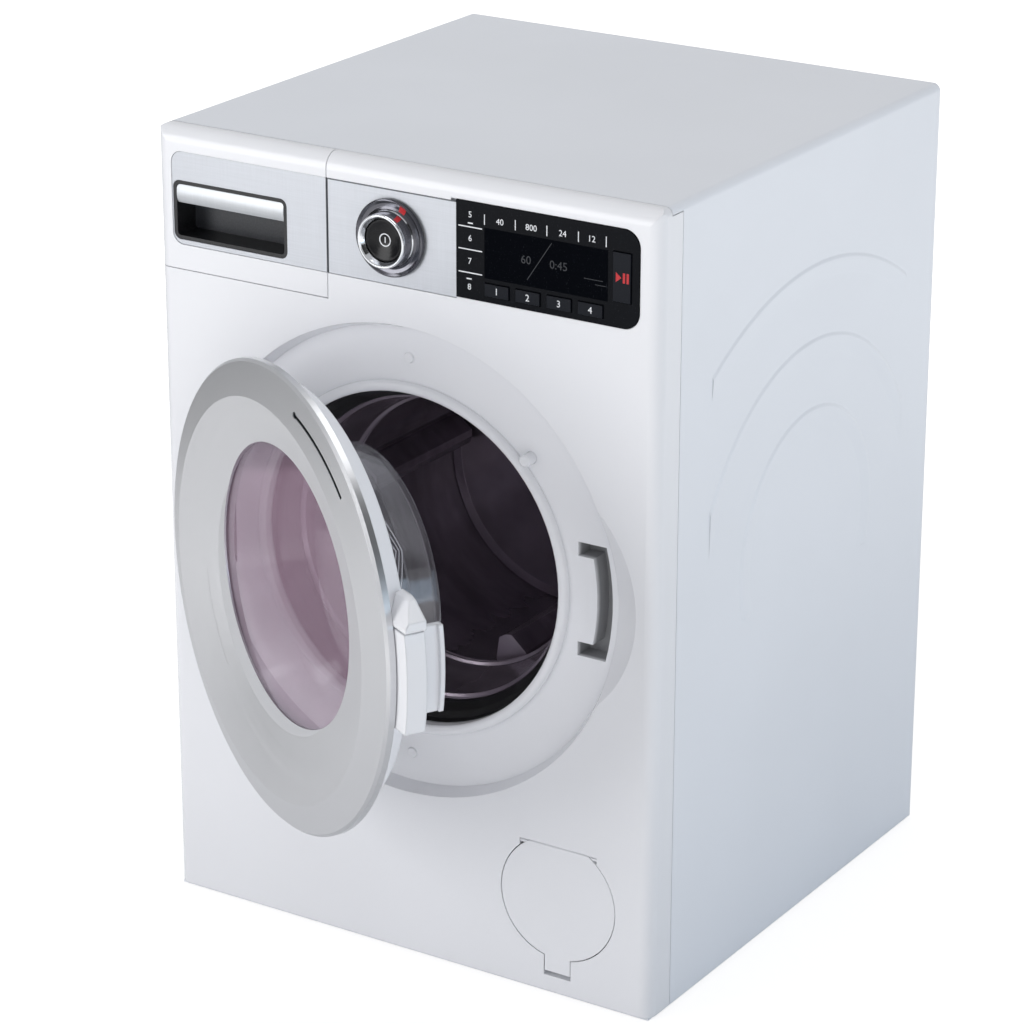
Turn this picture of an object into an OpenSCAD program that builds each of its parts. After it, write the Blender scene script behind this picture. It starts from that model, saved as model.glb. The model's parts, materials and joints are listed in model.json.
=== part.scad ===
// Toy front-loading washing machine, in millimetres.
// X runs to the right, Y to the back and Z up. The origin is the middle of the footprint on the floor.
// Depths named t run back from the plane of the front face. The door is drawn closed and then swung open.

/* [Cabinet] */
// Width of the cabinet
body_w = 185; // [180:1:200]
// Depth of the cabinet
body_d = 180; // [176:1:200]
// Height of the cabinet
body_h = 265; // [262:1:290]
// Wall thickness of the cabinet mouldings
wall = 2.4; // [2.2:0.1:2.8]
// Radius of the upright front corners
corner_r = 4; // [3:0.5:6]
// Radius of the top front edge
top_edge_r = 5; // [4:0.5:6]
// Radius of the long top side edges
side_edge_r = 2.6; // [2.4:0.2:4]
// Depth of the side returns of the front moulding
flange_d = 12.5; // [11:0.5:16]
// Depth of the top return of the front moulding
top_return = 6.3; // [5.5:0.1:8]
// Seam between neighbouring mouldings
seam = 0.25; // [0.15:0.05:0.4]
// Height of the shadow gap that the base leaves under the shells
foot_gap = 0.8; // [0.5:0.1:1.5]

/* [Door recess] */
// Height of the plain face between the recess and the drawer
recess_land = 4.5; // [3:0.5:8]
// Width of the plain face beside the recess
recess_side = 14; // [13:0.5:16]
// Depth of the recess
dish_t = 5; // [4.5:0.1:5.5]
// Thickness of the recess floor
dish_floor = 2; // [1.6:0.1:2.4]
// Width of the flat recess floor and lip round the opening
floor_ring_w = 23; // [22:0.5:25]
// Width of the rounded lip round the opening
lip_w = 3.6; // [3:0.2:4]
// Height of the lip over the recess floor
lip_h = 2.2; // [1.6:0.1:2.6]
// How far the finger scoop reaches beyond the recess
scoop_reach = 7.1; // [6:0.1:8]
// Radius of the finger scoop at the front face
scoop_r = 44; // [43:0.2:45]
// Width of the sloping side of the finger scoop
scoop_slope = 9; // [7:0.5:11]

/* [Door] */
// Clearance between the rim of the door and the edge of the recess
door_gap = 3.7; // [3:0.1:5]
// How far the closed door stands out of the front face
door_proud = 10.5; // [9.5:0.1:11.5]
// Thickness of the silver front ring at its edge
ring_t = 2.9; // [2.4:0.1:3.2]
// Width of the silver ring round the window
window_margin = 29.6; // [28:0.2:32]
// Height of the window centre over the door axis
window_up = 3.5; // [2:0.1:4]
// Width of the flat border round the dished face
dish_face_margin = 10.4; // [9:0.2:12]
// Sideways offset of the dished face towards the hinge
dish_face_x = -6.4; // [-7:0.1:-5]
// Downwards offset of the dished face
dish_face_z = -3.2; // [-4:0.1:-2]
// How much the white rear ring tapers in
rear_taper = 7; // [5:0.2:8]
// Clearance between the clear bowl and the loading opening
bowl_gap = 5.5; // [5:0.5:8]
// How far the clear bowl reaches behind the closed door's back
bowl_l = 25; // [20:0.5:27]
// How far the hinge pin stands inside the edge of the recess
hinge_inset = 0.3; // [0:0.1:1]
// Depth of the hinge pin behind the front face
hinge_t = 4.5; // [4.2:0.1:4.8]
// Radius of the hinge pin
hinge_pin_r = 1.25; // [1:0.05:1.4]
// Angle at which the door stands open
door_open = 28.1; // [20:0.1:35]

/* [Door latch] */
// Half height of the press plate
latch_half_h = 15.8; // [14:0.2:17]
// Travel of the press plate
latch_travel = 1.8; // [1.4:0.1:2]
// How far the press plate stands out beyond the silver ring
latch_proud = 6; // [5:0.1:6.4]
// How far the hook bar stands inside the rim of the door
hook_inset = 1.8; // [1.6:0.1:2.4]
// Thickness of the hook bar
hook_w = 1.8; // [1.6:0.1:2.2]

/* [Control strip] */
// Height of the white border over the silver strip
strip_drop = 7.7; // [6:0.1:10]
// Height of the silver strip
strip_h = 30.3; // [28:0.1:34]
// Thickness of the silver facings
facing_t = 1; // [0.8:0.1:1.2]
// How far the facings lie under the white face
facing_inset = 0.2; // [0.1:0.05:0.3]
// Width of the silver fascia round the knob
fascia_w = 48; // [44:0.5:52]
// Width of the display panel
panel_w = 64.4; // [62:0.2:68]
// Width of the white border beside the display panel
panel_side = 7.1; // [6:0.1:9]
// Corner radius of the display panel
panel_r = 5.5; // [4:0.5:7]
// Radius of the programme knob at its skirt
knob_r = 12.4; // [11.5:0.1:13]
// How far the programme knob stands out of the face
knob_h = 6; // [5:0.5:8]
// Radius of the power button
power_r = 6.6; // [6:0.1:6.8]
// Width of a programme button
key_w = 8.4; // [7.4:0.1:9]
// Height of a programme button
key_h = 3.9; // [3.4:0.1:4.4]
// Spacing of the programme buttons
key_pitch = 11; // [10.7:0.1:11.2]
// Travel of the buttons
key_travel = 1; // [0.6:0.1:1.2]
// Clearance round a button
key_gap = 0.25; // [0.2:0.05:0.35]

/* [Drawer] */
// Height of the white drawer front under the strip
drawer_skirt = 8.2; // [6:0.2:10]
// Length of the detergent tray
tray_l = 68; // [60:1:76]
// Wall of the detergent tray
tray_wall = 1.4; // [1.2:0.1:1.8]
// Running clearance of the tray in its guide
tray_gap = 0.5; // [0.4:0.05:0.7]
// Distance of the handle recess from the side
grip_side = 7.5; // [7:0.1:10]
// Distance of the handle recess from the drawer seam
grip_margin = 16.5; // [12:0.5:20]
// Height of the handle recess over the edge of the strip
grip_rise = 2.8; // [2:0.1:5]
// Height of the handle recess with its bright strip
grip_h = 16.8; // [14:0.1:20]
// Height of the bright strip over the handle recess
grip_strip_h = 6.1; // [5.5:0.1:6.6]
// Depth of the handle recess
grip_t = 10; // [9:0.5:11]

/* [Service flap] */
// Distance of the flap centre from the side
flap_side = 34.2; // [30:0.1:40]
// Height of the flap centre
flap_z = 33.9; // [33:0.1:36]
// Radius of the flap
flap_r = 21; // [19:0.2:22]
// Width of the pull tab
flap_tab_w = 9.4; // [8:0.2:12]
// Depth of the pocket behind the flap
flap_pocket_t = 10; // [8:0.5:14]

/* [Drum and drive] */
// How much smaller the mouth of the drum is than the opening
drum_step = 5; // [4.5:0.1:6]
// How much the drum narrows behind its shoulder
drum_taper = 4.5; // [3:0.1:6]
// Length of the drum
drum_l = 86; // [78:1:87]
// Wall of the drum
drum_wall = 1.6; // [1.4:0.1:1.8]
// How much smaller the tub is than the opening
tub_step = 0.5; // [0.3:0.1:1]
// Wall of the tub
tub_wall = 2; // [1.6:0.1:2]
// Radius of the drum shaft
shaft_r = 3; // [2.5:0.1:3.5]
// Running clearance of shafts and pins
run_gap = 0.05; // [0.03:0.01:0.08]
// Module of the gears
gear_m = 1; // [0.95:0.01:1.02]
// Teeth of the drum gear
drum_teeth = 48; // [46:1:50]
// Teeth of the small idler gear
idler_small_teeth = 12; // [12:1:13]
// Teeth of the large idler gear
idler_large_teeth = 36; // [34:1:37]
// Teeth of the motor pinion
pinion_teeth = 12; // [12:1:13]
// Width of the gears
gear_w = 5; // [4:0.5:6]

/* [Battery bay] */
// Radius of a battery cell
cell_r = 7.2; // [7:0.1:7.3]
// Length of a battery cell
cell_l = 50; // [48:0.5:51]
// Height of the lower edge of the battery bay
bay_z0 = 12; // [10:1:16]

/* [Hidden] */
$fn = 64;
eps = 0.01;
front_y = -body_d / 2;
half_w = body_w / 2;
inner_half = half_w - wall;

// Strip and drawer, set out from the top and the right side
strip_z1 = body_h - strip_drop;
strip_z0 = strip_z1 - strip_h;
panel_x1 = half_w - panel_side;
panel_x0 = panel_x1 - panel_w;
drawer_seam_x = panel_x0 - fascia_w;
drawer_z0 = strip_z0 - drawer_skirt;
grip_x0 = grip_side - half_w;
grip_x1 = drawer_seam_x - grip_margin;
grip_z0 = strip_z0 + grip_rise;
grip_z1 = grip_z0 + grip_h;

// Round sizes, each from the one outside it
dish_r = half_w - recess_side;
door_z = drawer_z0 - recess_land - dish_r;
opening_r = dish_r - floor_ring_w;
scoop_x = dish_r + scoop_reach - scoop_r;
door_r = dish_r - door_gap;
window_r = door_r - window_margin;
dish_face_r = door_r - dish_face_margin;
rear_ring_r = door_r - rear_taper;
bowl_r = opening_r - bowl_gap;
hinge_x = dish_r - hinge_inset;
latch_r = door_r + latch_proud;
hook_r = door_r - hook_inset;
drum_r = opening_r - drum_step;
drum_back_r = drum_r - drum_taper;
tub_r = opening_r - tub_step;
flap_x = half_w - flap_side;

// Drawer and strip
strip_t = facing_inset + facing_t + 0.1;
notch_x = drawer_seam_x + seam;
notch_z = drawer_z0 - seam;
strip_mid_z = (strip_z0 + strip_z1) / 2;
knob_x = (drawer_seam_x + panel_x0) / 2 + 0.1;
hub_knob_r = knob_r - 4.4;
hub_knob_end = wall + 3.8;
panel_front = -0.3;
facing_x0 = -half_w + 5.9;
facing_r = 4;
grip_wall = 1.2;
tray_x0 = -inner_half + 2.2;
tray_x1 = drawer_seam_x - 3.4;
tray_z0 = drawer_z0 + 5;
tray_z1 = body_h - wall - 3;
tray_t1 = wall + tray_l;
guide_wall = 1.2;
guide_t0 = flange_d + 0.6;

// Keys and electronics
key_front = -0.8;
key_x0 = panel_x0 + 14.8;
key_z = strip_z0 + 4.5;
start_w = key_w - 2.4;
start_h = 15.2;
start_x = panel_x1 - 5.8;
start_z = strip_mid_z + 1.1;
flange_lip = 0.7;
key_flange_t = wall + 0.15;
key_end = wall + 2.6;
mat_t = key_end + key_travel + 0.5;
board_t = mat_t + 3.4;
board_h = 1.6;
board_x0 = knob_x - 14;
board_x1 = half_w - 6;
board_z0 = strip_z0 - 3;
board_z1 = strip_z1 + 1.5;

// Recess, lip and gasket
floor_back = dish_t + dish_floor;
gasket_t = floor_back + 2;
gasket_end = floor_back + 9;
tub_out = tub_r + tub_wall;
slot_r0 = hook_r - hook_w - latch_travel - 0.5;
slot_r1 = hook_r + 1.4;
keeper_d = 5;
keeper_wall = 1.2;

// Drum and drive
drum_t0 = gasket_end + 0.6;
drum_t1 = drum_t0 + drum_l;
tub_back = drum_t1 + 3;
tub_end = tub_back + 2.5;
bush_r = shaft_r + 2.5;
hub_r = bush_r + 3;
gear_t0 = tub_end + 6;
large_t0 = gear_t0 + gear_w + 1.5;
plate_t0 = large_t0 + gear_w + 1.5;
plate_h = 2.5;
motor_t0 = plate_t0 + plate_h;
motor_l = 25;
motor_r = 10;
pin_r = 1.5;
drum_angle = -60;
motor_angle = -120;
pressure_angle = 25;
backlash = 0.16;
idler_gap = gear_m * (drum_teeth + idler_small_teeth) / 2;
motor_gap = gear_m * (idler_large_teeth + pinion_teeth) / 2;
idler_x = idler_gap * cos(drum_angle);
idler_z = door_z + idler_gap * sin(drum_angle);
motor_x = idler_x + motor_gap * cos(motor_angle);
motor_z = idler_z + motor_gap * sin(motor_angle);
post_r = 4;
post_drop = tub_r - 13;
posts = [[-31, 20], [31, 20], [-30, -post_drop], [33, -post_drop]];
ear_angles = [100, 155, 235, 310];
ear_r = opening_r + 6.5;

// Door, in its closed place
door_t0 = -door_proud;
ring_back = door_t0 + ring_t;
thick_back = ring_back + 2;
pane_t = 1.4;
pane_r = window_r + 3.6;
rear_back = -0.05;
rear_wall = 2;
bowl_wall = 1.4;
bowl_front = thick_back + pane_t + 0.1;
bowl_end = bowl_l;
bowl_step = bowl_l / 2;
screw_r = rear_ring_r - 5.2;
bowl_hole_r = bowl_r + 1;
groove_r = door_r - 8.2;
door_screw_angles = [16, 72, 126, 214, 270, 324];
latch_back = -0.6;
spring_r = 2;
spring_x = hook_r - 12;
spring_t = ring_back + 3;

// Rear and base
cover_t = body_d - wall;
boss_r = 4;
boss_x = inner_half - 3.4;
boss_zs = [14, body_h / 2, body_h - 14];
base_h = 3.2;
base_gap = 0.6;
base_boss_x = inner_half - 3;
base_boss_y = body_d / 2 - 26;
bay_w = cell_l + 8;
bay_h = 3 * (2 * cell_r + 0.6) + 2;
bay_d = 2 * cell_r + 1.3;
bay_wall = 1.6;
bay_z1 = bay_z0 + bay_h;
speaker_r = 14;
speaker_x = 45;
speaker_z = body_h - 62;

// Flap, side relief, hinge and the rest
flap_gap = 0.3;
flap_plate_t = 2.2;
flap_pivot_t = 1;
flap_pivot_r = 0.9;
flap_chord_z = flap_z + flap_r - 2.9;
flap_pivot_z = flap_chord_z - flap_pivot_r;
flap_pin_r = 0.6;
flap_edge = sqrt(pow(flap_r, 2) - pow(flap_pivot_z - 2 * flap_pivot_r - flap_z, 2));
arch_y = 6;
arch_w = 9;
arch_h = 0.4;
shoulder_t = drum_t0 + 19.4;
paddle_h = 8;
cell_t = cover_t - cell_r - 1.25;
contact_x = bay_w / 2 - 1.2;
lug_h = 11.4;
knuckle_h = 5.6;
ear_h = 2.2;
knuckle_gap = 0.4;
ear_z = lug_h / 2 + knuckle_gap + knuckle_h + knuckle_gap;
bracket_half = ear_z + ear_h + 4.7;
pocket_half = ear_z + ear_h + 1.5;
switch_x = (opening_r + 6.3) * cos(43.7);
switch_z = door_z + (opening_r + 6.3) * sin(43.7);
// Three nested arched ridges on each side: centre height, radius and half span of each arch
arches = [[door_z - 25.8, 113, 58], [door_z - 8.8, 71, 64], [door_z - 2.8, 42, 36]];

// ---- Placing and profiles -------------------------------------------------------------------

// Extrudes an outline drawn in X and Z from depth t0 to depth t1
module along_y(t0, t1) {
    translate([0, front_y + t1, 0]) rotate([90, 0, 0]) linear_extrude(t1 - t0) children();
}

// Extrudes an outline drawn in Y and Z from x0 to x1
module along_x(x0, x1) {
    translate([x0, 0, 0]) rotate([90, 0, 90]) linear_extrude(x1 - x0) children();
}

// Revolves a profile of radius and depth t round an axis that runs to the back
module revolve_y(x, z) {
    translate([x, front_y, z]) rotate([-90, 0, 0]) rotate_extrude($fn = 128) children();
}

// A straight or tapered rod along the depth
module rod_y(x, z, t0, t1, r0, r1 = 0) {
    translate([x, front_y + t0, z]) rotate([-90, 0, 0])
        cylinder(h = t1 - t0, r1 = r0, r2 = r1 > 0 ? r1 : r0, $fn = 96);
}

// A box between two corners, with depths given as t
module block(x0, x1, t0, t1, z0, z1) {
    translate([x0, front_y + t0, z0]) cube([x1 - x0, t1 - t0, z1 - z0]);
}

// A rectangle with its own radius on the left and on the right
module strip_outline(x0, x1, z0, z1, rl, rr) {
    translate([x0 + rl, z0]) square([x1 - x0 - rl - rr, z1 - z0]);
    if (rl > 0) {
        translate([x0, z0 + rl]) square([rl + eps, z1 - z0 - 2 * rl]);
        translate([x0 + rl, z0 + rl]) circle(rl);
        translate([x0 + rl, z1 - rl]) circle(rl);
    }
    if (rr > 0) {
        translate([x1 - rr - eps, z0 + rr]) square([rr + eps, z1 - z0 - 2 * rr]);
        translate([x1 - rr, z0 + rr]) circle(rr);
        translate([x1 - rr, z1 - rr]) circle(rr);
    }
}

// The outer form of the cabinet, drawn in by a wall and running from z0 and to depth t1
module cabinet_form(inset, z0, t1) {
    half = half_w - inset;
    top = body_h - inset;
    rs = max(side_edge_r - inset, 0.1);
    rc = max(corner_r - inset, 0.1);
    rt = max(top_edge_r - inset, 0.1);
    y0 = front_y + inset;
    intersection() {
        along_y(inset, t1) {
            translate([-half, z0]) square([2 * half, top - rs - z0]);
            translate([rs - half, z0]) square([2 * (half - rs), top - z0]);
            for (s = [-1, 1]) translate([s * (half - rs), top - rs]) circle(rs);
        }
        translate([0, 0, z0]) linear_extrude(top - z0) {
            translate([-half, y0 + rc]) square([2 * half, t1 - inset - rc]);
            translate([rc - half, y0]) square([2 * (half - rc), t1 - inset]);
            for (s = [-1, 1]) translate([s * (half - rc), y0 + rc]) circle(rc);
        }
        along_x(-half, half) {
            translate([y0, z0]) square([t1 - inset, top - rt - z0]);
            translate([y0 + rt, z0]) square([t1 - inset - rt, top - z0]);
            translate([y0 + rt, top - rt]) circle(rt);
        }
    }
}

// The cabinet wall, open at the back and underneath
module cabinet_wall() {
    difference() {
        cabinet_form(0, foot_gap, body_d);
        cabinet_form(wall, -1, body_d + 1);
    }
}

// The part of the cabinet that belongs to the front mouldings
module front_zone(gap) {
    block(-half_w - 1, half_w + 1, -1, flange_d + gap, -1, body_h - wall - seam + gap);
    block(-half_w - 1, half_w + 1, -1, top_return + gap, -1, body_h + 1);
}

// The corner of the front that the drawer fills
module drawer_zone(gap) {
    block(-half_w - 1, drawer_seam_x + gap, -1, flange_d + 1, drawer_z0 - gap, body_h + 1);
}

// A pan-head screw that points up, with its head under z = 0 and a cross recess
module pan_screw(l, r, head_r, head_h) {
    difference() {
        union() {
            cylinder(h = l, r = r, $fn = 24);
            translate([0, 0, -head_h]) cylinder(h = head_h, r1 = head_r * 0.8, r2 = head_r, $fn = 32);
        }
        for (a = [0, 90]) rotate([0, 0, a])
            translate([-head_r * 0.6, -head_r * 0.12, -head_h - 1])
                cube([head_r * 1.2, head_r * 0.24, 1 + head_h * 0.6]);
    }
}

// A screw along the depth with its head at depth t; side 1 points back, side -1 points forward
module screw_y(x, z, t, side, l, r, head_r, head_h) {
    translate([x, front_y + t, z]) rotate([-90 * side, 0, 0]) pan_screw(l, r, head_r, head_h);
}

// ---- Gears ----------------------------------------------------------------------------------

// Involute function, in degrees
function involute(a) = tan(a) * 180 / PI - a;

// Half the angle of a tooth at radius q, on a gear of n teeth
function half_tooth(n, q) = let (r = gear_m * n / 2, rb = r * cos(pressure_angle))
    90 / n - backlash / 2 / r * 90 / PI + involute(pressure_angle) - involute(acos(min(1, rb / q)));

// Outline of one tooth, from its root on one side to its root on the other
function tooth(n) = let (
        r = gear_m * n / 2,
        rb = r * cos(pressure_angle),
        tip = r + 0.9 * gear_m,
        root = r - 1.15 * gear_m,
        q0 = max(rb, root) + eps,
        steps = 3)
    concat([[root, -half_tooth(n, q0) - 0.4]],
        [for (i = [0:steps]) let (q = q0 + (tip - q0) * i / steps) [q, -half_tooth(n, q)]],
        [for (i = [steps:-1:0]) let (q = q0 + (tip - q0) * i / steps) [q, half_tooth(n, q)]],
        [[root, half_tooth(n, q0) + 0.4]]);

// Outline of a whole gear with a tooth at angle a0
module gear_outline(n, a0) {
    polygon([for (i = [0:n - 1]) for (p = tooth(n)) let (a = a0 + i * 360 / n + p[1])
        [p[0] * cos(a), p[0] * sin(a)]]);
}

module gear_y(x, z, n, a0, t0, t1) {
    along_y(t0, t1) translate([x, z]) gear_outline(n, a0);
}

// ---- Cabinet --------------------------------------------------------------------------------

// The round recess with its finger scoop
module recess() {
    rod_y(0, door_z, -1, dish_t, dish_r + 0.4, dish_r - 2);
    rod_y(scoop_x, door_z, -eps, dish_t, scoop_r, scoop_r - scoop_slope);
}

// The latch slot, widened by gap: an upright slit with a square notch at each end
module latch_slot(t0, t1, gap = 0) {
    notch = 2.3 + gap;
    intersection() {
        union() {
            difference() {
                rod_y(0, door_z, t0, t1, slot_r1 + gap);
                rod_y(0, door_z, t0 - 1, t1 + 1, slot_r0 - gap);
            }
            for (s = [-1, 1])
                block(slot_r0 - 7 - gap, slot_r0 + 2, t0, t1, door_z + s * (latch_half_h + 0.7) - notch,
                    door_z + s * (latch_half_h + 0.7) + notch);
        }
        block(slot_r0 - 7 - gap, slot_r1 + gap, t0, t1, door_z - latch_half_h - 3 - gap,
            door_z + latch_half_h + 3 + gap);
    }
}

module front_shell() {
    lip_r = lip_w / 2;
    color("white") difference() {
        union() {
            intersection() {
                cabinet_wall();
                front_zone(0);
            }
            // Cup of the recess and of the flap pocket
            intersection() {
                union() {
                    rod_y(0, door_z, eps, floor_back, dish_r + 1.6, dish_r - 0.2);
                    rod_y(scoop_x, door_z, eps, floor_back, scoop_r + 1.6, scoop_r - scoop_slope + 1.6);
                    rod_y(flap_x, flap_z, eps, flap_pocket_t + 1.6, flap_r + 1.8);
                    block(flap_x - flap_tab_w / 2 - 2, flap_x + flap_tab_w / 2 + 2, eps, flap_plate_t + 2.8,
                        flap_z - flap_r - 8.2, flap_z - flap_r + 2);
                }
                block(-inner_half - eps, inner_half + eps, eps, flange_d, base_h + 1, notch_z - eps);
            }
            // Posts for the circuit board
            for (x = [board_x0 + 3, board_x1 - 3], z = [board_z0 + 3, board_z1 - 3])
                rod_y(x, z, wall - eps, board_t, 2.6);
            // Posts for the tub
            for (a = ear_angles)
                rod_y(ear_r * cos(a), door_z + ear_r * sin(a), floor_back - eps, gasket_t, 3.4);
            // Keeper for the hook behind its slot
            latch_slot(floor_back - 0.5, floor_back + keeper_d + keeper_wall, keeper_wall);
        }
        difference() {
            recess();
            // Rounded lip round the opening
            revolve_y(0, door_z) {
                translate([opening_r - 1, dish_t - lip_h + lip_r]) square([lip_w + 0.8, lip_h]);
                translate([opening_r + lip_r - 0.2, dish_t - lip_h + lip_r]) circle(lip_r);
            }
            for (s = [-1, 1]) rod_y(0, door_z + s * 66.9, dish_t - 0.6, dish_t + 1, 1.6, 2.2);
        }
        rod_y(0, door_z, -1, floor_back + 1, opening_r);
        latch_slot(dish_t - 1, floor_back + keeper_d);
        drawer_zone(seam);
        // Seats of the fascia and the display panel
        along_y(-1, strip_t) {
            strip_outline(notch_x - 1, panel_x0, strip_z0 - 0.15, strip_z1 + 0.15, 0, 0);
            strip_outline(panel_x0 - 2, panel_x1 + 0.15, strip_z0 + 0.35, strip_z1 + 0.95, 0, panel_r);
        }
        // Knob bearing, keys and start button
        rod_y(knob_x, strip_mid_z, 0, wall + 1, hub_knob_r + run_gap);
        along_y(0, wall + 1) key_holes(key_gap);
        // Board screws
        for (x = [board_x0 + 3, board_x1 - 3], z = [board_z0 + 3, board_z1 - 3])
            rod_y(x, z, wall + 1, board_t + 1, 1);
        for (a = ear_angles)
            rod_y(ear_r * cos(a), door_z + ear_r * sin(a), dish_t + 1, gasket_t + 1, 1);
        // Hinge pocket and door switch
        hinge_pocket();
        rod_y(switch_x, switch_z, 0, floor_back + 1, 2 + run_gap);
        // Flap pocket
        flap_pocket();
    }
}

// Holes of the five square buttons
module key_holes(gap) {
    for (i = [0:3])
        translate([key_x0 + i * key_pitch - key_w / 2 - gap, key_z - key_h / 2 - gap])
            square([key_w + 2 * gap, key_h + 2 * gap]);
    translate([start_x - start_w / 2 - gap, start_z - start_h / 2 - gap])
        square([start_w + 2 * gap, start_h + 2 * gap]);
}

module hinge_pocket() {
    block(-hinge_x - 5.4, -hinge_x + 9.8, -1, floor_back + 4, door_z - pocket_half, door_z
        + pocket_half);
}

module flap_outline(gap) {
    intersection() {
        translate([flap_x, flap_z]) circle(flap_r + gap, $fn = 96);
        translate([flap_x - 30, flap_z - 30]) square([60, 30 + flap_chord_z - flap_z + gap]);
    }
    translate([flap_x - flap_tab_w / 2 - gap, flap_z - flap_r - 5.1])
        square([flap_tab_w + 2 * gap, flap_r + 5.1]);
}

module flap_pocket() {
    along_y(-1, flap_plate_t + 1.2) flap_outline(flap_gap);
    // Finger ledge under the tab
    block(flap_x - flap_tab_w / 2 - flap_gap, flap_x + flap_tab_w / 2 + flap_gap, -1, flap_plate_t + 1.2,
        flap_z - flap_r - 6.6, flap_z - flap_r);
    intersection() {
        rod_y(flap_x, flap_z, -1, flap_pocket_t, flap_r - 1);
        block(0, half_w, -1, flap_pocket_t, 0, flap_chord_z);
    }
    // Room for the rolled edge, and the two pin holes
    flap_rod(flap_edge, flap_pivot_r + flap_gap + 0.2);
    flap_rod(flap_edge + 1.3, flap_pin_r + run_gap);
}

// A rod along the flap's pivot axis
module flap_rod(half, r) {
    translate([flap_x - half, front_y + flap_pivot_t, flap_pivot_z]) rotate([0, 90, 0])
        cylinder(h = 2 * half, r = r);
}

module service_flap() {
    color("white") {
        intersection() {
            along_y(0.1, flap_plate_t) flap_outline(0);
            union() {
                block(0, half_w, 0, flap_plate_t + 1, 0, flap_pivot_z);
                flap_rod(flap_edge, flap_pivot_r);
            }
        }
        flap_rod(flap_edge + 1, flap_pin_r);
        // Stiffening ring on the back
        difference() {
            rod_y(flap_x, flap_z, flap_plate_t - eps, flap_plate_t + 1, flap_r - 6);
            rod_y(flap_x, flap_z, flap_plate_t - 1, flap_plate_t + 2, flap_r - 7.2);
        }
    }
}

module housing() {
    color("white") {
        difference() {
            union() {
                difference() {
                    cabinet_wall();
                    front_zone(seam);
                }
                for (s = [-1, 1], z = boss_zs)
                    intersection() {
                        union() {
                            rod_y(s * boss_x, z, cover_t - 26, cover_t - 0.1, boss_r);
                            block(s > 0 ? boss_x : -inner_half - eps, s > 0 ? inner_half + eps : -boss_x,
                                cover_t - 26, cover_t - 0.1, z - 1, z + 1);
                        }
                        block(-inner_half - eps, inner_half + eps, 0, body_d, 0, body_h - wall);
                    }
                for (sx = [-1, 1], sy = [-1, 1])
                    base_post(sx, sy);
                for (s = [-1, 1]) side_relief(s);
            }
            for (s = [-1, 1], z = boss_zs) rod_y(s * boss_x, z, cover_t - 16, cover_t + 1, 1.3);
            for (sx = [-1, 1], sy = [-1, 1])
                translate([sx * base_boss_x, sy * base_boss_y, 0]) cylinder(h = 14, r = 1.3);
        }
    }
}

// Upright post for a base screw, joined to the side wall
module base_post(sx, sy) {
    x0 = sx > 0 ? base_boss_x : -inner_half - eps;
    intersection() {
        union() {
            translate([sx * base_boss_x, sy * base_boss_y, base_h + 0.1]) cylinder(h = 18, r = 3.6);
            translate([x0, sy * base_boss_y - 3.6, base_h + 0.1])
                cube([inner_half + eps - base_boss_x, 7.2, 18]);
        }
        block(-inner_half - eps, inner_half + eps, 0, body_d, 0, body_h);
    }
}

module side_relief(s) {
    intersection() {
        for (a = arches)
            translate([s * (half_w - 0.2), arch_y, a[0]]) rotate([0, s * 90, 0])
                rotate_extrude($fn = 128)
                    polygon([[a[1] - arch_w / 2 - 1, 0], [a[1] - arch_w / 2, 0.2],
                        [a[1], 0.2 + arch_h], [a[1] + 1, 0.2 + arch_h],
                        [a[1] + 2, 0.2], [a[1] + 3, 0]]);
        // Ends of each ridge
        union() for (a = arches)
            translate([s > 0 ? half_w - 1 : -half_w - 2, arch_y - a[2], a[0] + 8])
                cube([3, 2 * a[2], a[1] + 10]);
    }
}

module base_plate() {
    edge = 1;
    color("gainsboro") difference() {
        union() {
            translate([edge - half_w, front_y + edge, 0])
                cube([body_w - 2 * edge, body_d - 2 * edge - 0.4, foot_gap]);
            translate([base_gap - inner_half, front_y + wall + base_gap, 0])
                cube([2 * (inner_half - base_gap), body_d - 2 * wall - base_gap - 0.45, base_h]);
        }
        for (sx = [-1, 1], sy = [-1, 1]) translate([sx * base_boss_x, sy * base_boss_y, -1]) {
            cylinder(h = base_h + 2, r = 1.5);
            cylinder(h = 2.8, r = 3.2);
        }
        // Underside pockets between the ribs
        for (i = [0:3], j = [0:3]) if (!(i == 0 || i == 3) || !(j == 0 || j == 3))
            translate([(i - 1.5) * 40 - 17, (j - 1.5) * 38 - 16, -1]) cube([34, 32, 1.5]);
    }
}

module rear_cover() {
    x1 = inner_half - 0.25;
    z1 = body_h - wall - 0.25;
    color("gainsboro") difference() {
        union() {
            along_y(cover_t, body_d - 0.2) translate([-x1, base_h + 0.3]) square([2 * x1, z1 - base_h - 0.3]);
            // Rim behind the edge of the battery bay
            block(-bay_w / 2 - 3, bay_w / 2 + 3, cover_t - 1.2, cover_t, bay_z0 - 3, bay_z1 + 3);
        }
        block(-bay_w / 2, bay_w / 2, cover_t - 3, body_d + 1, bay_z0, bay_z1);
        for (s = [-1, 1], z = boss_zs) {
            rod_y(s * boss_x, z, cover_t - 1, body_d + 1, 1.5);
            rod_y(s * boss_x, z, cover_t + 1, body_d + 1, 3);
        }
        // Sound slots
        for (i = [-3:3]) {
            h = sqrt(pow(speaker_r - 2, 2) - pow(i * 3.4, 2));
            along_y(cover_t - 1, body_d + 1) translate([speaker_x + i * 3.4, speaker_z]) {
                translate([-0.9, -h]) square([1.8, 2 * h]);
                for (s = [-1, 1]) translate([0, s * h]) circle(0.9);
            }
        }
        // Vent slots
        for (i = [0:5])
            along_y(cover_t - 1, body_d + 1) {
                translate([-50, speaker_z - 10 + i * 4]) square([36, 1.8]);
                for (x = [-50, -14]) translate([x, speaker_z - 9.1 + i * 4]) circle(0.9);
            }
    }
}

// ---- Control strip --------------------------------------------------------------------------

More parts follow.
